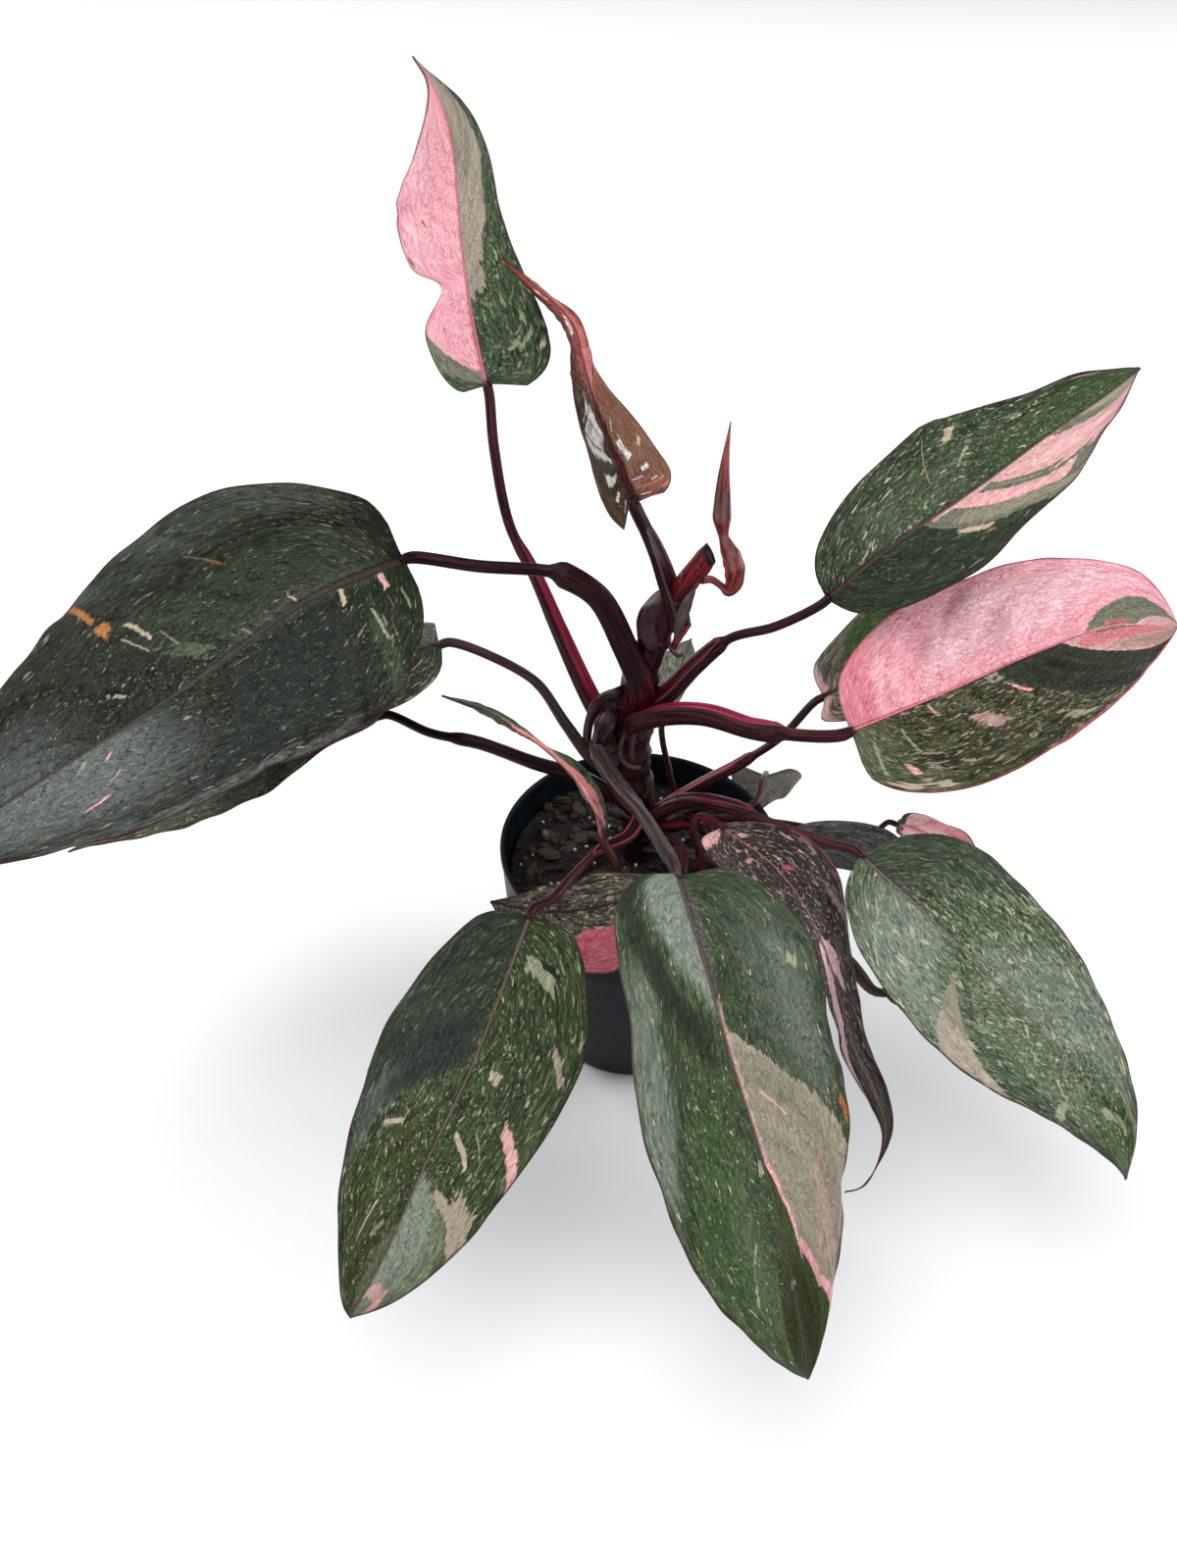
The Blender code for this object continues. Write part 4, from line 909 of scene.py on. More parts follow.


# Patches of the pale, silvery and bluish sheen tones are painted sheen on the blades.
LOOKS = {
    "tall": look(fine=0.72, coarse=0.62, green=(0.036, 0.062, 0.02), fleck=(0.3, 0.36, 0.2),
                 speck=(0.24, 0.29, 0.17), rib=ROSE, rib_width=0.6, patches=[
        patch("grey", L, (-4, 100, 60), lean=-55, jag=12),
        patch("moss", L, (0, 100, 60), lean=-55, jag=30, amount=0.4),
        patch("pink", L, (30, 1200), lean=-75, jag=12), patch("pink", L, (-100, 100, 0, 80)),
        patch("white_pink", L, (220, 600, 450, 950), soft=50, amount=0.35),
        patch("rose", L, (-100, 300, 0, 100), splay=-500, amount=0.7, soft=20),
        patch("rose", L, (660, 1200, 0, 500), amount=0.25, soft=60),
        patch("beige", R, (230, 1200, 0, 420), jag=50), patch("beige", R, (300, 1200, 300, 680), jag=40),
        patch("beige", R, (380, 1200, 500, 820), jag=30),
        patch("grey", R, (500, 560, 250, 550), jag=50, amount=0.6),
        patch("grey", R, (600, 750, 0, 200), jag=30, amount=0.5),
        patch("blush", R, (800, 1200), amount=0.6, soft=50),
        patch("pale", R, (50, 56, 300, 450), (85, 93, 500, 660), (90, 96, 220, 340)),
        patch("pale", R, (120, 127, 620, 800), lean=-30), patch("pale", R, (150, 156, 300, 400)),
        patch("cream", R, (30, 36, 450, 700)), patch("pale", R, (48, 62, 560, 800), lean=-30, jag=12),
        patch("pale", R, (76, 88, 420, 620), jag=12), patch("cream", R, (46, 58, 840, 950), jag=10),
        patch("pale", R, (94, 102, 560, 700), jag=10), patch("pale", R, (66, 72, 300, 440), jag=8),
        patch("rust", L, (362, 378, 540, 600), (215, 235, 860, 960), (300, 306, 800, 850)),
        patch("maroon", 0, (955, 1200), soft=30)]),
    "broad": look(dark=(0.0064, 0.0078, 0.0047), green=(0.0142, 0.0176, 0.0078), fine=0.42, coarse=0.4,
                  speck=(0.15, 0.18, 0.13), fleck=(0.24, 0.25, 0.19), rib=(0.05, 0.038, 0.028),
                  rib_width=1.3, shine=0.38, gloss=0.1, depth=2.6, patches=[
        patch("green", L, (-100, 170), amount=0.1, soft=20),
        patch("dark", R, (100, 500, 100), amount=0.3, soft=60),
        patch("lichen", R, (0, 450, 0, 700), amount=0.16, soft=100, jag=80),
        patch("silver_sheen", L, (500, 1200), lean=200, amount=0.62, soft=220),
        patch("silver_sheen", R, (640, 1200), lean=280, amount=0.4, soft=200, jag=60),
        patch("silver_sheen", L, (180, 500, 860), amount=0.5, soft=50),
        patch("lichen", L, (85, 145, 400, 1100), amount=0.15, soft=20),
        patch("lichen", R, (400, 440, 60, 300), amount=0.4, jag=60),
        patch("bluish_sheen", L, (160, 440, 40, 900), amount=0.45, soft=30),
        patch("pale_sheen", R, (20, 300, 620, 1100), amount=0.16, soft=60),
        patch("mauve", 0, (-200, 620, 0, 200), lean=4000, soft=100, amount=0.6),
        patch("blush", L, (56, 76, 50, 300), jag=15),
        patch("cream", L, (146, 162, 40, 200), lean=-50, jag=15),
        patch("pale", L, (122, 133, 340, 680), lean=30, jag=12),
        patch("pale", L, (34, 42, 400, 700), jag=20),
        patch("blush", L, (70, 75, 360, 500), (98, 104, 460, 600), (85, 90, 600, 720)),
        patch("pale", L, (105, 110, 200, 360)), patch("cream", R, (236, 246, 20, 100)),
        patch("pale", R, (345, 352, 0, 100)), patch("pink", L, (580, 590, 540, 620), jag=8),
        patch("blush", L, (608, 616, 360, 440), (655, 665, 140, 220), jag=8),
        patch("pink", L, (557, 562, 440, 500), jag=5), patch("pale", L, (700, 715, 100, 200)),
        patch("cream", R, (243, 248, 540, 720), lean=30, jag=6),
        patch("rust", R, (244, 251, 500, 580), lean=30, jag=8),
        patch("cream", R, (214, 218, 700, 840), lean=-50, jag=6),
        patch("rust", R, (552, 575, 640, 760), lean=300, jag=20),
        patch("rust", R, (558, 571, 790, 980), lean=300, jag=14), patch("rust", R, (200, 204, 780, 810)),
        patch("cream", R, (476, 487, 420, 620), lean=210, jag=12),
        patch("cream", R, (500, 507, 360, 580), lean=210, jag=8),
        patch("cream", R, (463, 469, 280, 420), lean=210, jag=6),
        patch("pale", R, (560, 575, 200, 300), lean=100)]),
    "middle": look(fine=0.9, coarse=0.7, dark=(0.0125, 0.017, 0.009), green=(0.026, 0.036, 0.014),
                   gloss=0.1, rib_width=1.2),
    "lower": look(fine=0.95, coarse=0.66, dark=(0.026, 0.034, 0.016), green=(0.06, 0.076, 0.03),
                  gloss=0.14),
    "slim": look(fine=0.5, coarse=0.3, dark=(0.0251, 0.0376, 0.0188), green=(0.046, 0.0711, 0.0293),
                 rib=MAROON, rib_width=0.4, patches=[
        patch("salmon", L, (60, 780, 20), lean=400, jag=50),
        patch("salmon", R, (120, 660, 0, 450), lean=300, jag=60),
        patch("blush", L, (250, 620, 200, 900), lean=400, soft=80, amount=0.45),
        patch("maroon", 0, (840, 1200), lean=450, soft=30, amount=0.6), patch("rose", L, (0, 120, 300))]),
    "new": look(dark=(0.012, 0.006, 0.003), green=(0.055, 0.029, 0.014), fine=0.3, coarse=0.5,
                speck=(0.2, 0.1, 0.065), depth=2.6, fleck=(0.5, 0.3, 0.22), rib=(0.055, 0.004, 0.01),
                rim=(0.12, 0.02, 0.02), shine=0.2, gloss=0.08, rib_width=1.5, patches=[
        patch("copper", R, (0, 600, 50), amount=0.8, soft=30),
        patch("ember", R, (-100, 50, 350), amount=0.25, soft=20),
        # Painted shade: the thin dark lines on the right half darken the creases along the veins
        patch("dark", R, (30, 34, 100, 800), (62, 67, 100, 900), (104, 109, 100, 900), jag=10, amount=0.7),
        patch("dark", R, (150, 155, 200, 900), jag=10, amount=0.6),
        patch("glint", R, (84, 100, 420, 600), jag=12),
        patch("glint", R, (72, 80, 120, 400), jag=20, amount=0.7),
        patch("glint", R, (125, 200, 160, 340), lean=-50, jag=20, amount=0.75),
        patch("glint", R, (50, 58, 500, 660), jag=10, amount=0.9),
        patch("cream", R, (128, 142, 600, 760), jag=12),
        patch("glint", R, (12, 20, 250, 550), jag=10, amount=0.7),
        patch("salmon", R, (38, 48, 200, 800), (0, 10, 300, 900), jag=20, amount=0.5),
        patch("glint", R, (220, 235, 300, 500), lean=-50, jag=20, amount=0.6),
        patch("salmon", R, (20, 30, 750, 950), jag=10, amount=0.6),
        patch("bark", L, (0, 450, 0, 1100), amount=0.85, soft=30),
        patch("glint", L, (150, 250, 280, 740), jag=40, soft=12, amount=0.62),
        patch("bark", L, (185, 195, 300, 900), (215, 222, 300, 700), jag=20),
        patch("glint", L, (100, 124, 180, 660), (65, 80, 300, 500), jag=40, soft=6, amount=0.7),
        patch("glint", L, (250, 310, 300, 600), jag=50, soft=20, amount=0.5),
        patch("glint", L, (30, 42, 350, 600), jag=30, amount=0.4),
        patch("dark", L, (125, 140, 150, 600), jag=50, amount=0.8),
        patch("maroon", 0, (0, 700, 0, 100), soft=20, amount=0.85),
        patch("ember", 0, (340, 1200), lean=100, amount=0.85, soft=120),
        # The salmon over the narrow tip is its pinker colour together with a painted highlight along it
        patch("salmon", R, (400, 1200, 100, 600), jag=20, soft=20, amount=0.55),
        patch("salmon", L, (460, 750, 300, 500), jag=20, soft=20, amount=0.4),
        patch("glint", L, (420, 580, 600, 740), jag=8, amount=0.6)]),
    "upper": look(fine=0.8, coarse=0.5, dark=(0.014, 0.023, 0.01), green=(0.03, 0.05, 0.019),
                  rib=(0.075, 0.042, 0.038), rib_width=1.0, speck=(0.24, 0.29, 0.19), depth=1.9, patches=[
        patch("lichen", L, (50, 500, 0, 750), amount=0.16, soft=100),
        patch("green", L, (460, 1200), amount=0.6, soft=120),
        patch("dark", R, (-100, 320), amount=0.7, soft=10),
        patch("grey", R, (295, 1200, 0), jag=12, amount=0.9),
        patch("beige", R, (310, 370, 250), jag=30, amount=0.5),
        patch("blush", R, (315, 500, 0, 90), jag=10), patch("blush", R, (372, 445, 50, 820), jag=20),
        patch("blush", R, (485, 690), jag=15), patch("blush", R, (455, 500, 600), jag=20),
        patch("pink", R, (385, 420, 200, 720), amount=0.6),
        patch("beige", R, (460, 475, 200, 500), jag=20, amount=0.6),
        patch("white_pink", R, (520, 660, 200, 900), soft=40, amount=0.35),
        patch("pink", R, (430, 660, 860), amount=0.7), patch("pale", R, (690, 1200)),
        patch("grey", R, (685, 780, 50, 450), jag=40),
        patch("cream", R, (750, 1200), lean=50, amount=0.5, soft=50),
        patch("rust", R, (262, 276, 660, 740)), patch("cream", R, (275, 297, 420, 640), jag=40),
        patch("cream", L, (375, 381, 350, 900), lean=140, jag=30),
        patch("cream", L, (430, 452, 680, 850), lean=150),
        patch("pale", L, (310, 325, 100, 200), (400, 415, 350, 550)),
        patch("maroon", 0, (955, 1200), soft=30)]),
    "pink": look(dark=(0.02, 0.022, 0.009), green=(0.056, 0.054, 0.023), fine=0.7, coarse=0.7, depth=2.4,
                 fleck=(0.36, 0.26, 0.2), rib=ROSE, rib_width=0.55, rim=(0.45, 0.08, 0.11), patches=[
        patch("dark", R, (390, 630), amount=0.9, soft=15),
        patch("lichen", R, (-100, 140), amount=0.28, soft=100), patch("pink", L, (-100, 1200)),
        patch("white_pink", L, (180, 620, 100, 970), soft=80, amount=0.6),
        patch("rose", L, (-100, 100), amount=0.6, soft=30),
        patch("rose", L, (12, 30, 250, 700), amount=0.5, soft=10),
        patch("rose", L, (50, 56, 200, 750), jag=10, amount=0.4),
        patch("rose", L, (40, 700, 0, 50), amount=0.35, soft=20),
        patch("blush", L, (860, 1200), lean=200, soft=20), patch("moss", L, (670, 840, 20, 580), jag=15),
        patch("grey", L, (670, 780, 100, 560), jag=30, amount=0.5),
        patch("rose", L, (720, 800, 0, 120), jag=15, amount=0.6),
        patch("blush", R, (600, 1200), lean=-20, jag=8),
        patch("beige", R, (620, 1200, 280, 950), amount=0.8, soft=30),
        patch("rose", R, (600, 1200, 200, 1100), amount=0.22, soft=50),
        patch("rose", R, (630, 920, 20, 270), jag=50, amount=0.75), patch("grey", R, (700, 850, 0, 60)),
        patch("blush", R, (238, 285, 320, 560), jag=30, amount=0.55), patch("blush", R, (75, 90, 620, 800)),
        patch("pale", R, (110, 120, 200, 500), (40, 50, 300, 800)), patch("cream", R, (40, 100, 860, 960)),
        patch("beige", R, (300, 330, 760, 920), jag=50), patch("pink", R, (375, 390, 200, 400)),
        patch("blush", R, (195, 205, 60, 200)), patch("beige", R, (360, 400, 20, 100)),
        patch("rose", R, (200, 620, 965), jag=6, amount=0.8, soft=6),
        patch("olive", L, (308, 326, 120, 250), jag=40)]),
    "grey": look(dark=(0.05, 0.045, 0.03), green=(0.12, 0.11, 0.075), fine=0.6, coarse=0.6,
                 speck=(0.22, 0.19, 0.13), fleck=(0.36, 0.22, 0.18), rib=MAROON_BROWN, patches=[
        patch("blush", 0, (-100, 50, 150), amount=0.7, soft=20), patch("green", L, (140, 300, 500), jag=50),
        patch("beige", 0, (400, 1200), amount=0.6, soft=50)]),
    "arching": look(dark=(0.03, 0.048, 0.022), green=(0.076, 0.11, 0.054), fine=0.66, coarse=0.82,
                    depth=2.3, speck=(0.34, 0.38, 0.26), fleck=(0.4, 0.42, 0.3), rib=(0.16, 0.14, 0.11),
                    rib_width=0.7, gloss=0.2, patches=[
        patch("dark", L, (-100, 200), amount=0.45, soft=50),
        patch("pale_sheen", R, (30, 340), amount=0.5, soft=100),
        patch("lichen", R, (360, 800, 0, 700), lean=100, amount=0.3, soft=60),
        patch("mauve", 0, (-200, 340, 0, 300), lean=2400, soft=120, amount=0.85),
        patch("pale_sheen", L, (300, 720, 0, 1100), lean=50, amount=0.45, soft=120),
        patch("beige", R, (352, 325, 270, 990), lean=130, splay=138, jag=12),
        patch("moss", R, (352, 325, 270, 700), lean=130, splay=138, jag=12, amount=0.6),
        patch("bluish_sheen", R, (325, 390, 120, 800), amount=0.45, soft=40),
        patch("grey", R, (375, 300, 350, 750), lean=115, splay=110, jag=20, amount=0.5, soft=10),
        patch("dark", R, (430, 800, 620, 1100), lean=120, amount=0.5, soft=60),
        patch("pale", L, (815, 848, 30, 520), lean=220, jag=20),
        patch("pale", R, (785, 808, 550, 900), lean=400, jag=20),
        patch("pale", L, (600, 625, 280, 420), lean=100),
        patch("pale", L, (300, 315, 280, 400), (500, 520, 60, 160)), patch("pale", R, (180, 200, 550, 680)),
        patch("blush", R, (50, 60, 80, 200)), patch("pale", R, (90, 100, 400, 900), lean=-30),
        patch("cream", R, (530, 545, 120, 240)), patch("cream", R, (630, 645, 360, 480), lean=100),
        patch("pale", 0, (420, 440, 20, 80)),
        patch("green", 0, (780, 1200), lean=300, amount=0.85, soft=80),
        patch("maroon", 0, (965, 1200), soft=20)]),
    "front": look(dark=(0.021, 0.034, 0.017), green=(0.044, 0.068, 0.03), fine=0.5, coarse=0.3, gloss=0.1,
                  depth=1.6, rib=(0.09, 0.07, 0.055), rib_width=0.9, patches=[
        patch("dark", L, (-100, 360, 80), amount=0.3, soft=40),
        patch("pale_sheen", R, (-100, 310), lean=360, amount=0.8, soft=50),
        patch("pale_sheen", R, (90, 320, 600, 1100), amount=0.5, soft=60),
        patch("pale_sheen", L, (80, 340, 500, 950), amount=0.4, soft=50),
        patch("olive", R, (380, 500), lean=370, amount=0.2, soft=50),
        patch("olive", R, (620, 1200), lean=150, amount=0.4, soft=150),
        # Painted shade: a dark band along the valley across the right half
        patch("dark", R, (320, 430, 100, 1100), lean=370, amount=0.9, soft=35),
        patch("green", R, (280, 800, 100), amount=0.5, soft=100),
        patch("lichen", R, (420, 750, 150, 750), amount=0.2, soft=80, jag=60),
        patch("beige", L, (300, 840, 0, 550), lean=-100, jag=20),
        patch("beige", L, (375, 900, 400), lean=60, jag=20),
        patch("grey", L, (300, 420), lean=-70, jag=50, soft=50, amount=0.5),
        patch("moss", L, (300, 900, 0, 1100), amount=0.35, soft=100),
        patch("blush", L, (400, 800, 500), splay=-300, jag=50, soft=50, amount=0.2),
        patch("leaf", L, (540, 1200, 0, 270), lean=-650, jag=4),
        patch("leaf", L, (700, 1200, 240, 560), lean=75, jag=4),
        patch("leaf", L, (845, 1300, 520), lean=350, jag=4),
        patch("pink", L, (505, 545, 0, 260), lean=-650, jag=4, amount=0.8),
        patch("pink", L, (672, 705, 250, 540), lean=75, jag=4, amount=0.8),
        patch("pink", L, (828, 850, 520), lean=350, jag=4, amount=0.8),
        patch("tip_olive", 0, (660, 1200), lean=100, amount=0.95, soft=140),
        patch("blush", L, (250, 560, 0, 50), soft=12),
        patch("blush", L, (390, 402, 160, 360), lean=-80, jag=12, amount=0.8),
        patch("mauve", L, (-200, 380, 0, 260), lean=2200, soft=100, amount=0.9),
        patch("mauve", R, (-200, 320, 0, 160), lean=3000, soft=80, amount=0.75),
        patch("pale_sheen", L, (20, 380, 120, 1000), amount=0.3, soft=120),
        patch("maroon", 0, (950, 1200), lean=40, amount=0.6, soft=40), patch("rust", L, (275, 300, 900)),
        patch("pale", L, (120, 140, 680, 780)), patch("pale", R, (530, 560, 20, 90)),
        patch("pale", R, (600, 612, 400, 700), lean=120), patch("pale", 0, (775, 790, 0, 50)),
        patch("maroon", 0, (955, 1200), soft=30)]),
    "front_left": look(dark=(0.017, 0.027, 0.011), green=(0.04, 0.06, 0.021), fine=0.66, coarse=0.72,
                       depth=1.6, speck=(0.2, 0.235, 0.14), fleck=(0.33, 0.33, 0.22),
                       rib=(0.14, 0.095, 0.07), rib_width=0.85, patches=[
        patch("bluish_sheen", R, (-100, 390, 30), amount=0.6, soft=12),
        patch("bluish_sheen", R, (250, 400, 80, 750), amount=0.75, soft=20),
        patch("pale_sheen", R, (290, 410, 550, 980), amount=0.55, soft=30),
        patch("olive", R, (420, 900, 50, 900), amount=0.5, soft=50),
        patch("moss", R, (740, 1000, 0, 300), amount=0.4, soft=40, jag=100),
        patch("pale", L, (90, 135, 200, 600), lean=-30, jag=30),
        patch("dark", L, (100, 122, 380, 600), jag=30), patch("beige", L, (195, 215, 700, 900)),
        patch("blush", L, (435, 460, 600, 1100), lean=160, jag=15),
        patch("cream", L, (385, 410, 240, 360), lean=160),
        patch("pale", L, (470, 478, 360, 600), lean=100, jag=10),
        patch("cream", L, (510, 530, 160, 460), lean=100, jag=20),
        patch("lichen", L, (660, 1200, 20, 1100), lean=240, amount=0.9, soft=30),
        patch("pale_sheen", L, (620, 920, 0, 500), lean=100, amount=0.7, soft=30),
        patch("cream", L, (655, 685, 250, 900), lean=260, jag=30, amount=0.75),
        patch("beige", L, (610, 660, 550, 1100), lean=240, jag=30),
        patch("pale_sheen", L, (700, 940, 40, 800), lean=280, amount=0.5, soft=50),
        patch("blush", L, (925, 965, 50, 1100), lean=400, amount=0.85),
        patch("mauve", 0, (-200, 300, 0, 300), lean=4000, soft=100, amount=0.5),
        patch("green", R, (570, 610, 420, 660), lean=100, jag=50),
        patch("cream", R, (545, 560, 400, 620), lean=200), patch("pale", R, (710, 735, 250, 400), lean=50),
        patch("cream", R, (590, 605, 420, 600), lean=-50), patch("maroon", 0, (955, 1200), soft=20)]),
    "dusky": look(dark=(0.016, 0.011, 0.009), green=(0.031, 0.022, 0.018), fine=0.8, coarse=0.6, depth=1.4,
                  speck=(0.4, 0.3, 0.25), fleck=(0.62, 0.44, 0.38), rib=(0.4, 0.16, 0.17), rib_width=0.42,
                  rim=(0.06, 0.02, 0.024), patches=[
        patch("blush", R, (0, 45, 500, 980), jag=100),
        patch("white_pink", R, (320, 410, 150), amount=0.8, jag=30),
        patch("blush", L, (35, 55, 100, 260), jag=30),
        patch("rose", L, (150, 170, 80, 260), jag=40, amount=0.8),
        patch("blush", L, (170, 200, 600, 860), jag=50, amount=0.35),
        patch("blush", R, (100, 115, 300, 440), jag=30, amount=0.7),
        patch("cream", R, (70, 85, 300, 420), jag=50),
        patch("white_pink", L, (335, 420, 0, 360), jag=40, amount=0.75),
        patch("rose", L, (20, 300, 930), amount=0.3), patch("pale_sheen", 0, (500, 1200), amount=0.12, soft=50)]),
    "rim": look(dark=(0.026, 0.024, 0.016), green=(0.1, 0.095, 0.065), fine=0.7, coarse=0.85,
                speck=(0.26, 0.22, 0.16), fleck=(0.44, 0.36, 0.28), rib=MAROON_BROWN, patches=[
        patch("rose", L, (-100, 450, 300), amount=0.85, jag=10),
        patch("ember", L, (-100, 450, 300, 600), amount=0.3, soft=50),
        patch("cream", L, (120, 130, 20, 280)), patch("pale", L, (300, 315, 50, 280))]),
    "small_back": look(dark=(0.13, 0.115, 0.09), green=(0.2, 0.18, 0.14), fine=0.2, coarse=0.1,
                       rib=MAROON_BROWN, under=(0.2, 0.18, 0.14), shine=0.5),
    "dark": look(dark=(0.02, 0.022, 0.02), green=(0.05, 0.052, 0.048), fine=0.3, coarse=0.2, rib=MAROON),
    "small_pink": look(rib=ROSE, patches=[
        patch("blush", 0, (60, 1200)), patch("rose", L, (150, 1200, 500), amount=0.5)]),
    "back": look(dark=(0.07, 0.08, 0.05), green=(0.12, 0.13, 0.085), fine=0.2, coarse=0.1, shine=0.45,
                 rim=(0.1, 0.1, 0.07)),
    "under": look(dark=(0.02, 0.025, 0.015), green=(0.04, 0.05, 0.025)),
}


def add_specks(bench, marks, style, colour):
    colour = bench.mix(bench.times(marks["Speck"], 0.85), colour, style["speck"])
    return bench.mix(marks["Fleck"], colour, style["fleck"])


def leaf_material(name, number, groups):
    """Marbled blade: tissue, coloured sectors, painted shade by the midrib, midrib, rim and underside."""
    style = LOOKS[name]
    surface, bench = new_material("marbled leaf " + name, style["shine"], style["gloss"])
    flow, place = marks_of(bench)
    seed = 3.0 + 2.37 * number
    marks = bench.place(groups["tissue"], Flow=flow, Seed=seed, Fine=style["fine"], Coarse=style["coarse"])
    colour = bench.mix(marks["Sector"], style["dark"], style["green"])
    # The colour is lightened on the raised streaks and grain and darkened in the sunken veins: the tissue's
    # own streaky tone together with painted light and shade of the relief
    tone_and_relief_shade = bench.ramp(marks["Streak"], 0.6, bench.times(marks["Grain"], 0.4))
    tone_and_relief_shade = bench.ramp(marks["Vein"], -0.2, tone_and_relief_shade)
    depth = style["depth"]
    colour = bench.scaled(colour, bench.ramp(tone_and_relief_shade, depth, 1.32 - 0.5 * depth))
    # The sectors show the veins once more
    tone_and_relief_shade = bench.ramp(marks["Vein"], -0.2, tone_and_relief_shade)
    tissue = bench.ramp(tone_and_relief_shade, 1.3, 0.14, clamp=True)
    # Soft grounds lie below the specks, and sharp patches above them
    sectors = list(enumerate(style["sectors"]))
    grounds = [each for each in sectors if each[1]["tone"] in GROUNDS]
    sharp = [each for each in sectors if each[1]["tone"] not in GROUNDS]
    for layer in (grounds, sharp):
        if layer is sharp:
            colour = add_specks(bench, marks, style, colour)
        for k, each in layer:
            shape = dict(each["shape"], Flow=flow, Place=place, Seed=seed + 1.3 * k)
            mask = bench.place(groups["sector"], **shape)["Mask"]
            light, deep = TONES[each["tone"]]
            own = bench.mix(tissue, deep, light)
            if each["amount"] < 1:
                mask = bench.times(mask, each["amount"])
            colour = bench.mix(mask, colour, own)
    edges = bench.place(groups["edges"], Flow=flow, Place=place, Width=style["rib_width"])
    colour = bench.scaled(colour, bench.ramp(marks["Grain"], 0.3, 0.86))
    # Painted shade in the furrows beside the midrib
    colour = bench.mix(bench.times(edges["Furrow"], 0.6), colour, shade(style["dark"], 0.45))
    rib = bench.mix(marks["Grain"], style["rib"], shade(style["rib"], 1.5))
    colour = bench.mix(edges["Rib"], colour, rib)
    colour = bench.mix(bench.times(edges["Rim"], 0.8), colour, style["rim"])
    colour = bench.mix(bench.times(edges["Under"], 0.6), colour, style["under"])
    bench.finish(colour, bench.ramp(marks["Grain"], 0.12, style["shine"] - 0.04), marks["Height"], 0.7, 0.5)
    return surface


def stalk_look(outer=MAROON, groove=CRIMSON, edge=None, belly=None, foot=0.0, lines=0.35):
    """Colours of the skin, the groove, its two margins and the far side; foot is the crimson share."""
    return dict(outer=outer, groove=groove, edge=edge or outer, belly=belly or outer, foot=foot,
                lines=lines)


STALK_LOOKS = {
    "tall": stalk_look((0.022, 0.003, 0.005), (0.20, 0.010, 0.030), (0.13, 0.007, 0.018), foot=0.06),
    "broad": stalk_look(DARK_MAROON, (0.022, 0.0035, 0.005), (0.05, 0.008, 0.012), foot=0.13, lines=0.2),
    "middle": stalk_look(GREY_BROWN, (0.030, 0.009, 0.010), MAROON, GREY_BROWN),
    "lower": stalk_look(DARK_MAROON, (0.20, 0.010, 0.030), (0.10, 0.006, 0.014), lines=0.25),
    "slim": stalk_look((0.05, 0.018, 0.012)),
    "pink": stalk_look(MAROON, (0.30, 0.012, 0.050), (0.20, 0.02, 0.045), OLIVE_BROWN, foot=0.05,
                       lines=0.4),
    "grey": stalk_look(MAROON, (0.18, 0.016, 0.030), (0.30, 0.05, 0.075), lines=0.5),
    "arching": stalk_look((0.024, 0.008, 0.008), (0.030, 0.008, 0.009), (0.18, 0.022, 0.034), lines=0.75),
    "upper": stalk_look(DARK_MAROON, (0.060, 0.005, 0.010), (0.14, 0.04, 0.045), lines=0.4),
    "new": stalk_look(DARK_MAROON, (0.030, 0.005, 0.008), (0.055, 0.03, 0.032), lines=0.2),
    "front": stalk_look(GREY_BROWN, GREY_BROWN, (0.020, 0.013, 0.012), lines=0.06),
    "front_left": stalk_look((0.030, 0.008, 0.010), (0.030, 0.007, 0.010), (0.32, 0.05, 0.08), lines=0.5),
    "dusky": stalk_look((0.040, 0.004, 0.008), (0.09, 0.006, 0.016), (0.05, 0.02, 0.02), lines=0.3),
    "under": stalk_look((0.060, 0.040, 0.030), lines=0.1),
    "small_back": stalk_look(MAROON_BROWN),
    "back": stalk_look(MAROON_BROWN),
}


def stalk_material(name, number, groups):
    """Dark glossy skin, fine crimson lines, pale dots, and a groove with its own margins and painted
    highlight.
    """
    style = STALK_LOOKS.get(name, stalk_look())
    surface, bench = new_material("glossy stalk " + name, 0.24, 0.10)
    flow, place = marks_of(bench)
    marks = bench.place(groups["streaks"], Flow=flow, Seed=1.7 * number)
    streak, line = marks["Streak"], marks["Line"]
    along, around, dent = bench.parts(place)
    outer, groove, belly = style["outer"], style["groove"], style["belly"]
    skin = bench.mix(streak, shade(outer, 0.6), shade(outer, 1.9))
    far = bench.rise(bench.size(around), 0.42, 0.62)
    skin = bench.mix(far, skin, bench.mix(streak, shade(belly, 0.6), belly))
    skin = bench.mix(bench.times(line, style["lines"]), skin, (0.15, 0.020, 0.026))
    if style["foot"]:
        foot = bench.rise(bench.ramp(streak, -0.05, along), style["foot"], style["foot"] - 0.05)
        skin = bench.mix(foot, skin, bench.mix(line, (0.022, 0.003, 0.005), (0.17, 0.009, 0.026)))
    skin = bench.mix(bench.rise(dent, 0.10, 0.24), skin, style["edge"])
    inner = bench.mix(streak, shade(groove, 0.5), shade(groove, 1.1))
    colour = bench.mix(bench.rise(dent, 0.30, 0.52), skin, inner)
    # Painted highlight: the middle of the groove is lightened along its fine lines
    gleam = bench.times(bench.rise(dent, 0.86, 1.0), line)
    colour = bench.mix(bench.times(gleam, 0.5), colour, [min(1.0, 2.2 * each + 0.03) for each in groove])
    colour = bench.mix(bench.times(marks["Dot"], 0.5), colour, (0.22, 0.14, 0.13))
    bench.finish(colour, bench.ramp(streak, 0.14, 0.2), marks["Height"], 0.6, 0.3)
    return surface


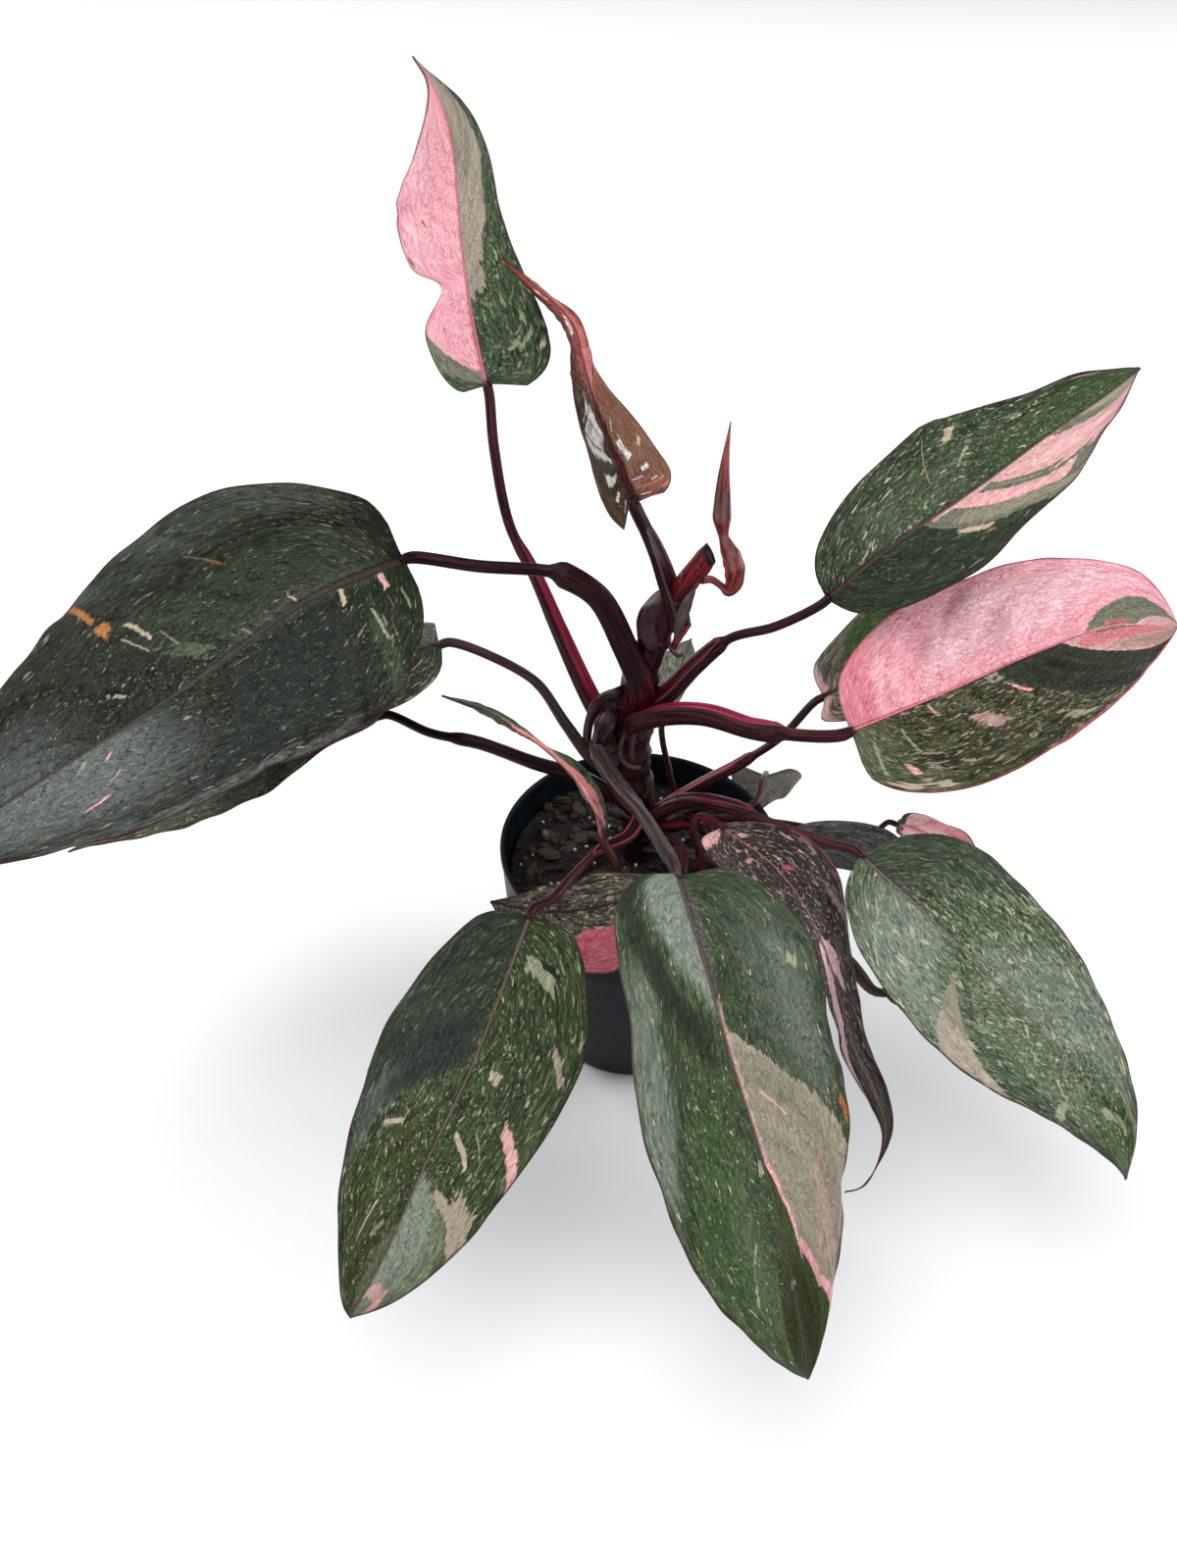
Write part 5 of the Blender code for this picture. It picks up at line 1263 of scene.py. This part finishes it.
def crumb_material(name, groups, tones, roughness, size, strength, distance):
    """Dark, light and dust colours over lumps of the size given in millimetres."""
    surface, bench = new_material(name, roughness, 0.25)
    marks = bench.place(groups["crumbs"], Where=object_place(bench), Size=size)
    dark, light, dust = tones
    colour = bench.mix(bench.rise(marks["Lump"], 0.35, 0.65), dark, light)
    colour = bench.mix(bench.times(marks["Dust"], 0.5), colour, dust)
    rough = bench.ramp(marks["Lump"], 0.2, roughness - 0.1)
    bench.finish(colour, rough, marks["Height"], strength, distance)
    return surface


def bark_material():
    """Split bark: flow is the place on a piece, and place holds the piece's own tone."""
    surface, bench = new_material("split bark", 0.75, 0.3)
    flow, place = marks_of(bench)
    tone = bench.parts(place)[0]
    fibre = bench.streaks(flow, tone, (4.5, 0.5, 0.7), 4, 0.65)
    colour = bench.mix(tone, (0.008, 0.006, 0.005), (0.060, 0.029, 0.014))
    colour = bench.mix(bench.rise(fibre, 0.4, 0.85), colour, (0.055, 0.034, 0.020))
    colour = bench.mix(bench.rise(fibre, 0.52, 0.3), colour, (0.004, 0.003, 0.0025))
    bench.finish(colour, bench.ramp(fibre, -0.3, 0.85), fibre, 0.8, 0.6)
    return surface


# Finishes of the small pieces: the streaks' dark and light colours, roughness and seed
SKIN_FINISHES = {
    "red bud scale": ((0.05, 0.004, 0.007), (0.17, 0.010, 0.018), 0.3, 2.2),
    "maroon sheath": ((0.006, 0.0018, 0.0024), (0.036, 0.005, 0.008), 0.28, 4.9),
    "papery scale": ((0.012, 0.007, 0.006), (0.10, 0.076, 0.070), 0.4, 7.3),
    "grey brown sheath": ((0.016, 0.010, 0.0095), (0.040, 0.028, 0.026), 0.4, 9.6),
    "shed red sheath": ((0.034, 0.0028, 0.003), (0.23, 0.027, 0.024), 0.22, 6.1),
    "dry root": ((0.020, 0.012, 0.010), (0.065, 0.038, 0.030), 0.7, 8.8),
}


def skin_material(name, groups):
    """A streaked skin with pale dots, for scales, sheaths and roots."""
    outer, inner, roughness, seed = SKIN_FINISHES[name]
    surface, bench = new_material(name, roughness, 0.3)
    flow, place = marks_of(bench)
    marks = bench.place(groups["streaks"], Flow=flow, Seed=seed)
    colour = bench.mix(marks["Streak"], outer, inner)
    colour = bench.mix(bench.times(marks["Dot"], 0.5), colour, (0.45, 0.20, 0.16))
    bench.finish(colour, bench.ramp(marks["Streak"], 0.2, roughness - 0.08), marks["Height"], 0.5, 0.3)
    return surface


def stem_material(groups):
    """Woody and papery at the soil, glossy maroon above, with pale dots and ring scars."""
    surface, bench = new_material("main stem", 0.3, 0.12)
    flow, place = marks_of(bench)
    marks = bench.place(groups["streaks"], Flow=flow, Seed=4.4)
    streak = marks["Streak"]
    along, around, hollow = bench.parts(place)
    skin = bench.mix(streak, (0.009, 0.0016, 0.0022), (0.038, 0.0045, 0.008))
    papery = bench.mix(streak, (0.007, 0.003, 0.003), (0.026, 0.010, 0.009))
    colour = bench.mix(bench.rise(bench.ramp(streak, 0.22, along), 0.48, 0.60), papery, skin)
    tip = bench.mix(streak, (0.032, 0.002, 0.004), (0.17, 0.006, 0.014))
    colour = bench.mix(bench.rise(along, 0.87, 0.92), colour, tip)
    colour = bench.mix(bench.rise(along, 0.984, 0.99), colour, (0.006, 0.003, 0.003))
    colour = bench.mix(bench.rise(hollow, 0.25, 0.5), colour, (0.10, 0.008, 0.014))
    colour = bench.mix(bench.times(marks["Dot"], 0.85), colour, (0.50, 0.40, 0.37))
    bench.finish(colour, bench.ramp(streak, 0.18, 0.24), marks["Height"], 0.6, 0.4)
    return surface


def pot_material(groups):
    """Bluish-black moulded plastic with a satin skin, fine scuffs and dust on the rim."""
    surface, bench = new_material("moulded black plastic", 0.42, 0.11)
    where = object_place(bench)
    marks = bench.place(groups["crumbs"], Where=where, Size=7.0)
    lump = marks["Lump"]
    colour = bench.mix(bench.rise(lump, 0.3, 0.7), (0.0018, 0.0040, 0.0062), (0.0040, 0.0074, 0.0108))
    colour = bench.mix(bench.times(marks["Dust"], 0.05), colour, (0.11, 0.10, 0.09))
    around = bench.vector("MULTIPLY", where, (0.25, 0.25, 6.0))
    scuff = bench.rise(bench.noise(around, 5, 0.7), 0.66, 0.74)
    colour = bench.mix(bench.times(scuff, 0.08), colour, (0.09, 0.095, 0.10))
    rough = bench.ramp(scuff, 0.15, bench.ramp(lump, 0.22, 0.32))
    pimples = bench.noise(where, 2, 0.5, scale=2.2)
    bench.finish(colour, rough, bench.ramp(scuff, -0.5, pimples), 0.12, 0.15)
    return surface


def soil_height(x, y):
    """Height of the lumpy top of the soil."""
    lumps = math.sin(0.31 * x + 1.2) * math.cos(0.27 * y) + 0.6 * math.sin(0.63 * x - 0.55 * y)
    return SOIL_HEIGHT + SOIL_LUMP * 0.6 * lumps


def crumbled_height(x, y):
    """The soil's height with crumbs on it."""
    where = Vector((x, y, 0))
    return soil_height(x, y) + sum(high * noise.noise(where * often)
                                   for high, often in ((0.9, 0.45), (0.55, 1.1), (0.3, 2.3)))


def make_pot(surface):
    """The turned shell with its foot ring, rim band and rounded lip, and the drainage holes."""
    slope = (WALL_TOP - BASE_RADIUS) / WALL_HEIGHT
    step = WALL_TOP + 1.45
    lip = RIM_RADIUS - 0.4
    inside = lip - WALL
    foot = [(0, 0), (30, 0), (30.6, 0.7), (32.6, 0.7), (33.2, 0), (BASE_RADIUS - 1.5, 0),
            (BASE_RADIUS - 0.5, 0.3), (BASE_RADIUS, 1.5)]
    wall = [(BASE_RADIUS + slope * z, z) for z in (3, 6, 12, 24, 40, 56, 64)]
    ledge = [(WALL_TOP + out, WALL_HEIGHT + up)
             for out, up in ((-0.15, -0.4), (0, 0), (0.9, 0.1), (1.3, 0.35), (1.45, 0.9))]
    band = [(step + (lip - step) * k / 5, WALL_HEIGHT + 1 + (RIM_HEIGHT - 3.4) * k / 5)
            for k in range(1, 6)]
    edge = [(RIM_RADIUS + out, POT_HEIGHT + up)
            for out, up in ((0, -1.9), (0.02, -0.8), (-0.25, -0.2), (-0.8, 0), (-1.4, -0.1), (-1.8, -0.6))]
    inner = [(inside - 0.22 * k, POT_HEIGHT - 1.6 - 3.9 * k) for k in range(5)]
    inner += [(WALL_TOP - WALL + out, WALL_HEIGHT + up) for out, up in ((1.4, 2), (0.2, 0), (0, -1))]
    floor = [(BASE_RADIUS - WALL + 0.3, 3.0), (BASE_RADIUS - WALL - 1.2, 1.8), (0, 1.8)]
    points, faces = revolved_mesh(foot + wall + ledge + band + edge + inner + floor, POT_SEGMENTS)
    pot = add_piece("pot_shell", points, faces, surface, ["pot"])
    profile = [(0, -2), (DRAIN_RADIUS, -2), (DRAIN_RADIUS, 4), (0, 4)]
    plug, plug_faces = revolved_mesh(profile, DRAIN_SEGMENTS)
    for i in range(DRAIN_COUNT):
        angle = 2 * math.pi * (i + 0.5) / DRAIN_COUNT
        middle = np.array([DRAIN_CIRCLE * math.cos(angle), DRAIN_CIRCLE * math.sin(angle), 0])
        tool = mesh_object("drain", middle + plug, plug_faces)
        cut = pot.modifiers.new("drain", "BOOLEAN")
        cut.operation = "DIFFERENCE"
        cut.solver = "EXACT"
        cut.object = tool
        with bpy.context.temp_override(object=pot, active_object=pot):
            bpy.ops.object.modifier_apply(modifier="drain")
        bpy.data.objects.remove(tool)
    with bpy.context.temp_override(object=pot, active_object=pot, selected_editable_objects=[pot]):
        bpy.ops.object.shade_smooth_by_angle(angle=math.radians(40))


def make_soil(surface):
    """The mix: plain where the pot covers it, and crumbled on top, where the profile names no height."""
    profile = [(BASE_RADIUS - WALL - 1.6, 2.1), (BASE_RADIUS - WALL, 3.4),
               (WALL_TOP - WALL - 0.3, WALL_HEIGHT - 1), (RIM_RADIUS - 3.4, SOIL_HEIGHT - 2)]
    profile += [(radius, None) for radius in np.linspace(RIM_RADIUS - 3.6, 0.7, SOIL_RINGS)]
    points = [(0, 0, 2.1)]
    for radius, height in profile:
        for i in range(SOIL_SEGMENTS):
            angle = 2 * math.pi * i / SOIL_SEGMENTS
            x = radius * math.cos(angle)
            y = radius * math.sin(angle)
            points.append((x, y, crumbled_height(x, y) if height is None else height))
    top = len(points)
    points.append((0, 0, crumbled_height(0, 0)))
    faces = ring_faces(len(profile), SOIL_SEGMENTS, 1) + fan_faces(0, 1, SOIL_SEGMENTS)
    faces += fan_faces(top, top - SOIL_SEGMENTS, SOIL_SEGMENTS, turned=True)
    add_piece("potting_mix", points, faces, surface, ["soil"])


def chip_mesh(rng, size, flat, corners=9):
    """A broken chip about its own centre: rings of uneven corners, closed below and above."""
    points = []
    for height, reach in ((-0.5, 0.72), (-0.28, 1.0), (0.25, 0.96), (0.5, 0.66)):
        for i in range(corners):
            angle = 2 * math.pi * (i + rng.uniform(-0.2, 0.2)) / corners
            away = 0.5 * size * reach * rng.uniform(0.78, 1.12)
            up = flat * (height + rng.uniform(-0.1, 0.1))
            points.append((away * math.cos(angle), 0.62 * away * math.sin(angle), up))
    middle = len(points)
    points += [(0, 0, -0.5 * flat), (0, 0, 0.5 * flat)]
    faces = ring_faces(4, corners) + fan_faces(middle, 0, corners)
    return points, faces + fan_faces(middle + 1, middle - corners, corners, turned=True)


# Bark pieces of the CAD: x, y and size
BARK_PLACES = [(-34, 12, 8), (-24, 26, 7), (-8, 36, 9), (14, 35, 7), (-38, -8, 7), (-26, -20, 6),
               (-17, 12, 6), (34, -8, 7)]
# The brown slabs and the grey blocks in the left part of the pot: x, y, size, thickness and tone
SLABS = [(-22, 13, 13, 2.0, 0.5), (-26, 6, 9, 2.2, 0.35), (-33, 2, 10, 2.4, 0.6), (-17, 25, 5, 3, 0.85),
         (-16, 19, 4.5, 3, 0.4), (-31, 31, 8, 3, 0.05), (-36, 27, 7, 3, 0.02)]
# Pebbles: x, y, size, thickness, tone and lift
PEBBLES = [(-35.3, 10.8, 4.6, 3.4, 0, 0.5), (-14, 12, 3.2, 2.6, 0, 0.5), (24, 20, 3.6, 3, 0, 0.4)]
LOOSE_CHIPS = 330
PERLITE_GRAINS = 95


def make_loose(name, places, rng, surface, nodes=(), smooth=False):
    """Chips joined in one piece; places holds x, y, size, thickness, tone and lift."""
    points = []
    faces = []
    flow = []
    place = []
    for x, y, size, flat, tone, lift in places:
        own, own_faces = chip_mesh(rng, size, flat)
        turn = Matrix.Rotation(rng.uniform(0, math.tau), 3, "Z")
        turn @= Matrix.Rotation(rng.uniform(-0.5, 0.5), 3, "X")
        turn @= Matrix.Rotation(rng.uniform(-0.35, 0.35), 3, "Y")
        start = len(points)
        middle = Vector((x, y, crumbled_height(x, y) + lift * flat))
        points += [turn @ Vector(point) + middle for point in own]
        flow += own
        place += [(tone, 0, 0)] * len(own)
        faces += [tuple(start + k for k in face) for face in own_faces]
    add_piece(name, points, faces, surface, nodes, {"flow": flow, "place": place}, smooth)


def scatter(rng, reach):
    """A random place on the soil within reach of its middle."""
    angle = rng.uniform(0, math.tau)
    away = reach * math.sqrt(rng.random())
    return away * math.cos(angle), away * math.sin(angle)


def make_chips(bark, pebble, white):
    """The bark pieces of the CAD, and loose bark, perlite and pebbles round them."""
    rng = random.Random(11)
    large = [(x, y, 1.1 * size, 2.4, rng.uniform(0.3, 0.9), 0.25) for x, y, size in BARK_PLACES]
    make_loose("bark_pieces", large, rng, bark, [f"bark_{k + 1}" for k in range(len(BARK_PLACES))])
    small = []
    for k in range(LOOSE_CHIPS):
        x, y = scatter(rng, 45)
        size = rng.uniform(1.6, 5.2)
        small.append((x, y, size, size * rng.uniform(0.25, 0.5), rng.random() ** 2.2, 0.25))
    small += [(*slab, 0.3) for slab in SLABS]
    make_loose("loose_bark", small, rng, bark)
    grains = []
    for k in range(PERLITE_GRAINS):
        x, y = scatter(rng, 44)
        size = rng.uniform(0.7, 1.7)
        grains.append((x, y, size, size * 0.8, 0, 0.45))
    make_loose("perlite_grains", grains, rng, white, smooth=True)
    make_loose("pebbles", PEBBLES, rng, pebble, smooth=True)


# Ring scars of the stem: fraction of its length, swell and width
SCARS = [(0.17, 0.7, 0.012), (0.28, 0.6, 0.01), (0.36, 0.8, 0.012), (0.45, 0.6, 0.01), (0.52, 0.9, 0.012),
         (0.6, 0.7, 0.012), (0.68, 0.8, 0.012), (0.78, 0.6, 0.01), (0.86, 0.7, 0.008)]


def make_stem(surface):
    """The main stem with ring scars, swollen nodes and a cut stub."""
    t = np.linspace(0, 1, STEM_RINGS)
    path = spline(STEM_AXIS, t)
    radius = np.interp(t, np.linspace(0, 1, len(STEM_RADIUS)), STEM_RADIUS)
    for at, swell, wide in SCARS:
        radius = radius + swell * bell(t, at, wide) - 0.35 * bell(t, at + 0.025, 0.015)
    # The cut end: a raised collar round a hollow face
    radius = radius * np.where(t > 0.99, 0.95, 1) + 0.2 * bell(t, 0.975, 0.008)
    phase = np.random.default_rng(5).uniform(0, 6.28, 6)
    turn = np.linspace(0, 2 * np.pi, STEM_SIDES, endpoint=False)[None, :]
    lumps = 0
    for k, (high, waves, wind) in enumerate(((0.035, 2, 9), (0.025, 5, -14), (0.012, 13, 30))):
        lumps = lumps + high * np.sin(waves * turn + wind * t[:, None] + phase[k])
    points, faces, marks = tube_mesh(path, (0, 1, 0), radius, radius, STEM_SIDES, lumps=lumps)
    # The cut end slopes down toward the front, round a hollow
    axis = unit(path[-1] - path[-2])
    rings = points[:-2].reshape(STEM_RINGS, STEM_SIDES, 3)
    slope = ((rings - path[:, None]) @ np.array([0.75, -0.6, -0.2])) * ease((t[:, None] - 0.93) / 0.07)
    rings -= slope[..., None] * axis * 0.5
    points[:-2] = rings.reshape(-1, 3)
    points[-1] = rings[-1].mean(axis=0) - 2.2 * axis
    marks["place"][-1] = (1, 0, 1)
    add_piece("main_stem", points, faces, surface, ["stem"], marks)


def crown_part(skin, flat, widths, knots, facing=(0, -0.7, 0.7)):
    """A thin scale or wrap; flat is its thickness as a share of the half-widths along its knots."""
    return dict(skin=skin, flat=flat, widths=widths, knots=knots, facing=facing)


CROWN_PARTS = {
    "bud_scale_low": crown_part("red bud scale", 0.7, (1.1, 1.2, 1.0, 0.5), [
        (6.5, 0.4, 175.2), (8.1, -0.1, 179.9), (10, 0.4, 182.6), (11.6, 1.8, 184)]),
    "bud_scale_high": crown_part("red bud scale", 0.7, (0.8, 0.9, 0.8, 0.4), [
        (8, 7.7, 192.5), (7.2, 6.7, 195.1), (7.5, 7, 197), (8, 8, 198.1)]),
    "dry_curl": crown_part("maroon sheath", 0.8, (0.7, 0.7, 0.6), [
        (4.6, 0.8, 177.3), (6.5, -2.5, 176.4), (8.4, -3.8, 175.6), (9.8, -3.1, 176.3)]),
    "old_sheath": crown_part("maroon sheath", 0.8, (2.0, 3.6, 4.0, 3.2, 1.2), [
        (3, 4, 170), (-0.6, 2.6, 176.7), (-1.5, 4.2, 182.1), (1.8, 7, 188.2), (5.6, 9, 192)]),
    "papery_scale": crown_part("papery scale", 0.4, (0.5, 1.3, 1.8, 1.5, 0.5), [
        (7, 0.1, 177.9), (7.8, -0.4, 183.3), (8.7, 0.3, 187.8), (10.2, 1.9, 191.8), (12, 4.6, 194.7)],
        facing=(0.2, -0.8, 0.5)),
    "sheath_wrap": crown_part("maroon sheath", 0.7, (1.6, 1.9, 1.7, 1.5, 1.4, 1.2), [
        (-6.3, 4.7, 156.8), (-10.5, 0.5, 156.9), (-15.5, -0.6, 154.6), (-18.5, -1.6, 147.6),
        (-19.5, -2.7, 138.9), (-19.7, -3.9, 131.5)]),
    "sheath_left": crown_part("maroon sheath", 0.7, (2.4, 3.2, 3.6, 3.4, 2.4), [
        (-6.9, 6, 153.8), (-11.7, 2.8, 149.1), (-13.7, 0.8, 142.4), (-12.8, -0.8, 134.5),
        (-9.5, -2, 126.8)]),
    "sheath_fold": crown_part("maroon sheath", 0.5, (2.6, 3.0, 2.4, 1.4, 0.6), [
        (-10.3, -0.9, 150.8), (-13.1, -5, 148.6), (-14.8, -6.9, 144.3), (-15.6, -7.2, 138),
        (-14.6, -7.1, 132)]),
    "sheath_tip": crown_part("grey brown sheath", 0.6, (1.4, 2.4, 2.6, 2.7, 2.6, 1.2), [
        (-14.3, 0.9, 141), (-16.3, -7.1, 141.2), (-12.5, -16.6, 140.7), (-7.3, -26.8, 140.9),
        (-2, -36.5, 141.6), (2.5, -44.1, 141.7)]),
    "sheath_flap": crown_part("maroon sheath", 0.5, (0.9, 1.8, 2.0, 1.5, 0.8), [
        (14.2, -3, 108), (17.0, -9.4, 113.6), (20.2, -12.2, 114), (23.8, -13.8, 111.3), (25.6, -14, 108)]),
    "sheath_end": crown_part("maroon sheath", 0.6, (0.9, 1.5, 1.5, 0.9), [
        (-9, 1, 113), (-10.4, -6.6, 115.0), (-7.0, -9.8, 113.6), (-3.2, -8.0, 109)]),
}


def make_crown(skins):
    """Bud scales, wraps and folds of young sheaths round the stem."""
    t = np.linspace(0, 1, CROWN_RINGS)
    turn = np.linspace(0, 2 * np.pi, CROWN_SIDES, endpoint=False)[None, :]
    wave = 0.06 * np.sin(5 * turn + 11 * t[:, None]) + 0.04 * np.sin(3 * turn - 23 * t[:, None])
    for name, part in CROWN_PARTS.items():
        widths = part["widths"]
        across = np.interp(t, np.linspace(0, 1, len(widths)), widths) * round_ends(CROWN_RINGS, 0.1)
        high = part["flat"] * across
        path = spline(part["knots"], t)
        points, faces, marks = tube_mesh(path, part["facing"], across, high, CROWN_SIDES, lumps=wave)
        add_piece(name, points, faces, skins[part["skin"]], (), marks)


# The shed sheath from its thread to its point
SPEAR = [(14, 9, 195), (17, 11, 194), (20, 12, 191.5), (22.5, 12.5, 189.5), (24, 13.5, 192),
         (23.7, 16.5, 196), (22, 19.6, 199), (20.2, 22.2, 202), (19.2, 25.4, 206), (19, 29, 209),
         (19, 37, 219), (20, 46, 229)]


def make_shed_sheath(surface):
    """The shed red sheath of the newest leaf: a thread, a crumpled sack, a pinch and a long point."""
    at = np.array([0, 0.08, 0.14, 0.2, 0.25, 0.32, 0.39, 0.45, 0.54, 0.66, 0.86, 1.0])
    t = np.linspace(0, 1, SHEATH_RINGS)
    across = np.interp(t, at, [1.4, 1.1, 1.1, 2.6, 3.3, 3.0, 2.6, 1.5, 3.0, 2.4, 1.0, 0.2])
    high = np.interp(t, at, [1.0, 0.8, 0.8, 1.3, 1.9, 2.0, 1.6, 1.0, 1.4, 1.2, 0.8, 0.2])
    kernel = np.hanning(9) / np.hanning(9).sum()
    across, high = (np.convolve(np.pad(each, 4, mode="edge"), kernel, "valid") for each in (across, high))
    turn = np.linspace(0, 2 * np.pi, SHEATH_SIDES, endpoint=False)[None, :]
    crumple = bell(t, 0.32, 0.11)[:, None]
    lumps = crumple * (0.07 * np.sin(2 * turn + 34 * t[:, None]) + 0.05 * np.sin(turn - 88 * t[:, None]))
    fold = 0.35 * bell(t, 0.68, 0.22)
    points, faces, marks = tube_mesh(spline(SPEAR, t), (0, -0.7, 0.7), across, high, SHEATH_SIDES,
                                     groove=fold, groove_width=0.45, crest=0.25 * fold, lumps=lumps)
    add_piece("shed_sheath_skin", points, faces, surface, ["shed_sheath"], marks)


ROOTS = {
    "root_long": [(-6, 2, 143), (-8, -3.5, 139.5), (-8, -5, 135), (-5, -5.5, 131.5), (-1, -4.5, 130.5)],
    "root_short": [(-3.5, 2, 143), (-4.5, -3.2, 140), (-4.5, -4.2, 136), (-4, -4.2, 133)],
}
DRY_STRIP = [(-1, 2, 111), (2, -2.2, 116), (2.5, -3, 121), (1.5, -3.6, 126)]
STRIP_WIDTHS = [0.8, 1.4, 1.6, 1.4, 1.1, 0.5]


def make_roots(surface):
    """Two aerial roots and the dried papery strip on the stem."""
    for name, knots in ROOTS.items():
        t = np.linspace(0, 1, ROOT_RINGS)
        width = 0.8 * round_ends(ROOT_RINGS) * (1 + 0.08 * np.sin(40 * t))
        points, faces, marks = tube_mesh(spline(knots, t), (0, -1, 0.3), width, width, ROOT_SIDES)
        add_piece("aerial_" + name, points, faces, surface, [name], marks)
    t = np.linspace(0, 1, STRIP_RINGS)
    across = np.interp(t, np.linspace(0, 1, len(STRIP_WIDTHS)), STRIP_WIDTHS)
    high = 0.5 * round_ends(STRIP_RINGS)
    points, faces, marks = tube_mesh(spline(DRY_STRIP, t), (0, -1, 0.2), across, high, ROOT_SIDES)
    add_piece("dry_strip_skin", points, faces, surface, ["dry_strip"], marks)


def direction(bearing, height):
    """Unit vector at a bearing from straight ahead to the right, and at a height, both in radians."""
    level = math.cos(height)
    return Vector((math.sin(bearing) * level, math.cos(bearing) * level, math.sin(height)))


def make_camera():
    """The camera at the photograph's place and angle."""
    yaw, pitch, roll = (math.radians(each) for each in (YAW, PITCH, ROLL))
    forward = direction(yaw, -pitch)
    right = forward.cross(Vector((0, 0, 1))).normalized()
    up = right.cross(forward)
    right, up = right * math.cos(roll) + up * math.sin(roll), up * math.cos(roll) - right * math.sin(roll)
    data = bpy.data.cameras.new("camera")
    data.sensor_width = SENSOR
    data.lens = SENSOR * FOCAL_PIXELS / FRAME_LONG_SIDE
    data.clip_start = 0.01
    data.clip_end = 50
    camera = new_object("camera", data)
    turn = Matrix((right, up, -forward)).transposed()
    camera.matrix_world = Matrix.Translation(Vector(EYE) * MM) @ turn.to_4x4()
    bpy.context.scene.camera = camera


# Soft lights: bearing and height, distance and width in metres, power, colour
LIGHTS = {
    "lamp above": (-150, 68, 5.0, 4.5, 170, (1.0, 0.985, 0.96)),
    "left window": (-64, 34, 4.0, 2.0, 95, (0.92, 0.96, 1.0)),
    "right window": (74, 30, 4.0, 2.2, 112, (0.94, 0.97, 1.0)),
}
LIGHT_AIM = Vector((0, 0, 0.12))
WORLD_LIGHT = 0.54
WORLD_COLOUR = (0.97, 0.985, 1.0, 1)
FLOOR_COLOUR = (0.76, 0.76, 0.76, 1)
FLOOR_REACH = 9000


def make_room():
    """The pale floor, the even light of the studio and its soft lamps."""
    surface, bench = new_material("pale floor", 0.8)
    bench.feed(bench.shader, {"Base Color": FLOOR_COLOUR})
    corners = [(x * FLOOR_REACH, y * FLOOR_REACH, 0) for x, y in ((-1, -1), (1, -1), (1, 1), (-1, 1))]
    floor = mesh_object("floor", corners, [(0, 1, 2, 3)], surface)
    bpy.context.scene.view_settings.view_transform = "Standard"
    world = bpy.data.worlds.new("studio")
    world.use_nodes = True
    background = world.node_tree.nodes["Background"]
    background.inputs["Color"].default_value = WORLD_COLOUR
    background.inputs["Strength"].default_value = WORLD_LIGHT
    bpy.context.scene.world = world
    for name, (bearing, height, distance, size, power, colour) in LIGHTS.items():
        data = bpy.data.lights.new(name, "AREA")
        data.shape = "DISK"
        data.size = size
        data.energy = power
        data.color = colour
        away = direction(math.radians(bearing), math.radians(height))
        lamp = new_object(name, data)
        lamp.location = away * distance + LIGHT_AIM
        lamp.rotation_euler = (-away).to_track_quat("-Z", "Y").to_euler()


# Dark, light and dust colours of the loose materials
EARTH = ((0.0025, 0.002, 0.0018), (0.012, 0.008, 0.006), (0.035, 0.024, 0.017))
STONE = ((0.05, 0.05, 0.052), (0.11, 0.11, 0.11), (0.2, 0.2, 0.19))
CHALK = ((0.42, 0.41, 0.38), (0.75, 0.74, 0.70), (0.3, 0.27, 0.22))
LEAF_SLOTS = dict.fromkeys(("tall", "pink", "small_pink"), "leaf_pink")
LEAF_SLOTS.update(dict.fromkeys(("new", "dusky", "slim"), "leaf_dark"))


def main():
    make_camera()
    make_room()
    groups = {"tissue": make_leaf_tissue(), "sector": make_leaf_sector(), "edges": make_leaf_edges(),
              "streaks": make_stalk_streaks(), "crumbs": make_crumbs()}
    make_pot(pot_material(groups))
    make_soil(crumb_material("damp potting mix", groups, EARTH, 0.85, 2.6, 1.0, 0.9))
    pebble = crumb_material("pebble", groups, STONE, 0.5, 2.0, 0.4, 0.3)
    make_chips(bark_material(), pebble, crumb_material("perlite", groups, CHALK, 0.8, 0.8, 0.8, 0.3))
    skins = {name: skin_material(name, groups) for name in SKIN_FINISHES}
    make_stem(stem_material(groups))
    make_crown(skins)
    make_shed_sheath(skins["shed red sheath"])
    make_roots(skins["dry root"])
    for number, each in enumerate(LEAVES):
        name = each["name"]
        blade_piece(each, number, leaf_material(name, number, groups))
        stalk_piece(each, stalk_material(name, number, groups))


main()
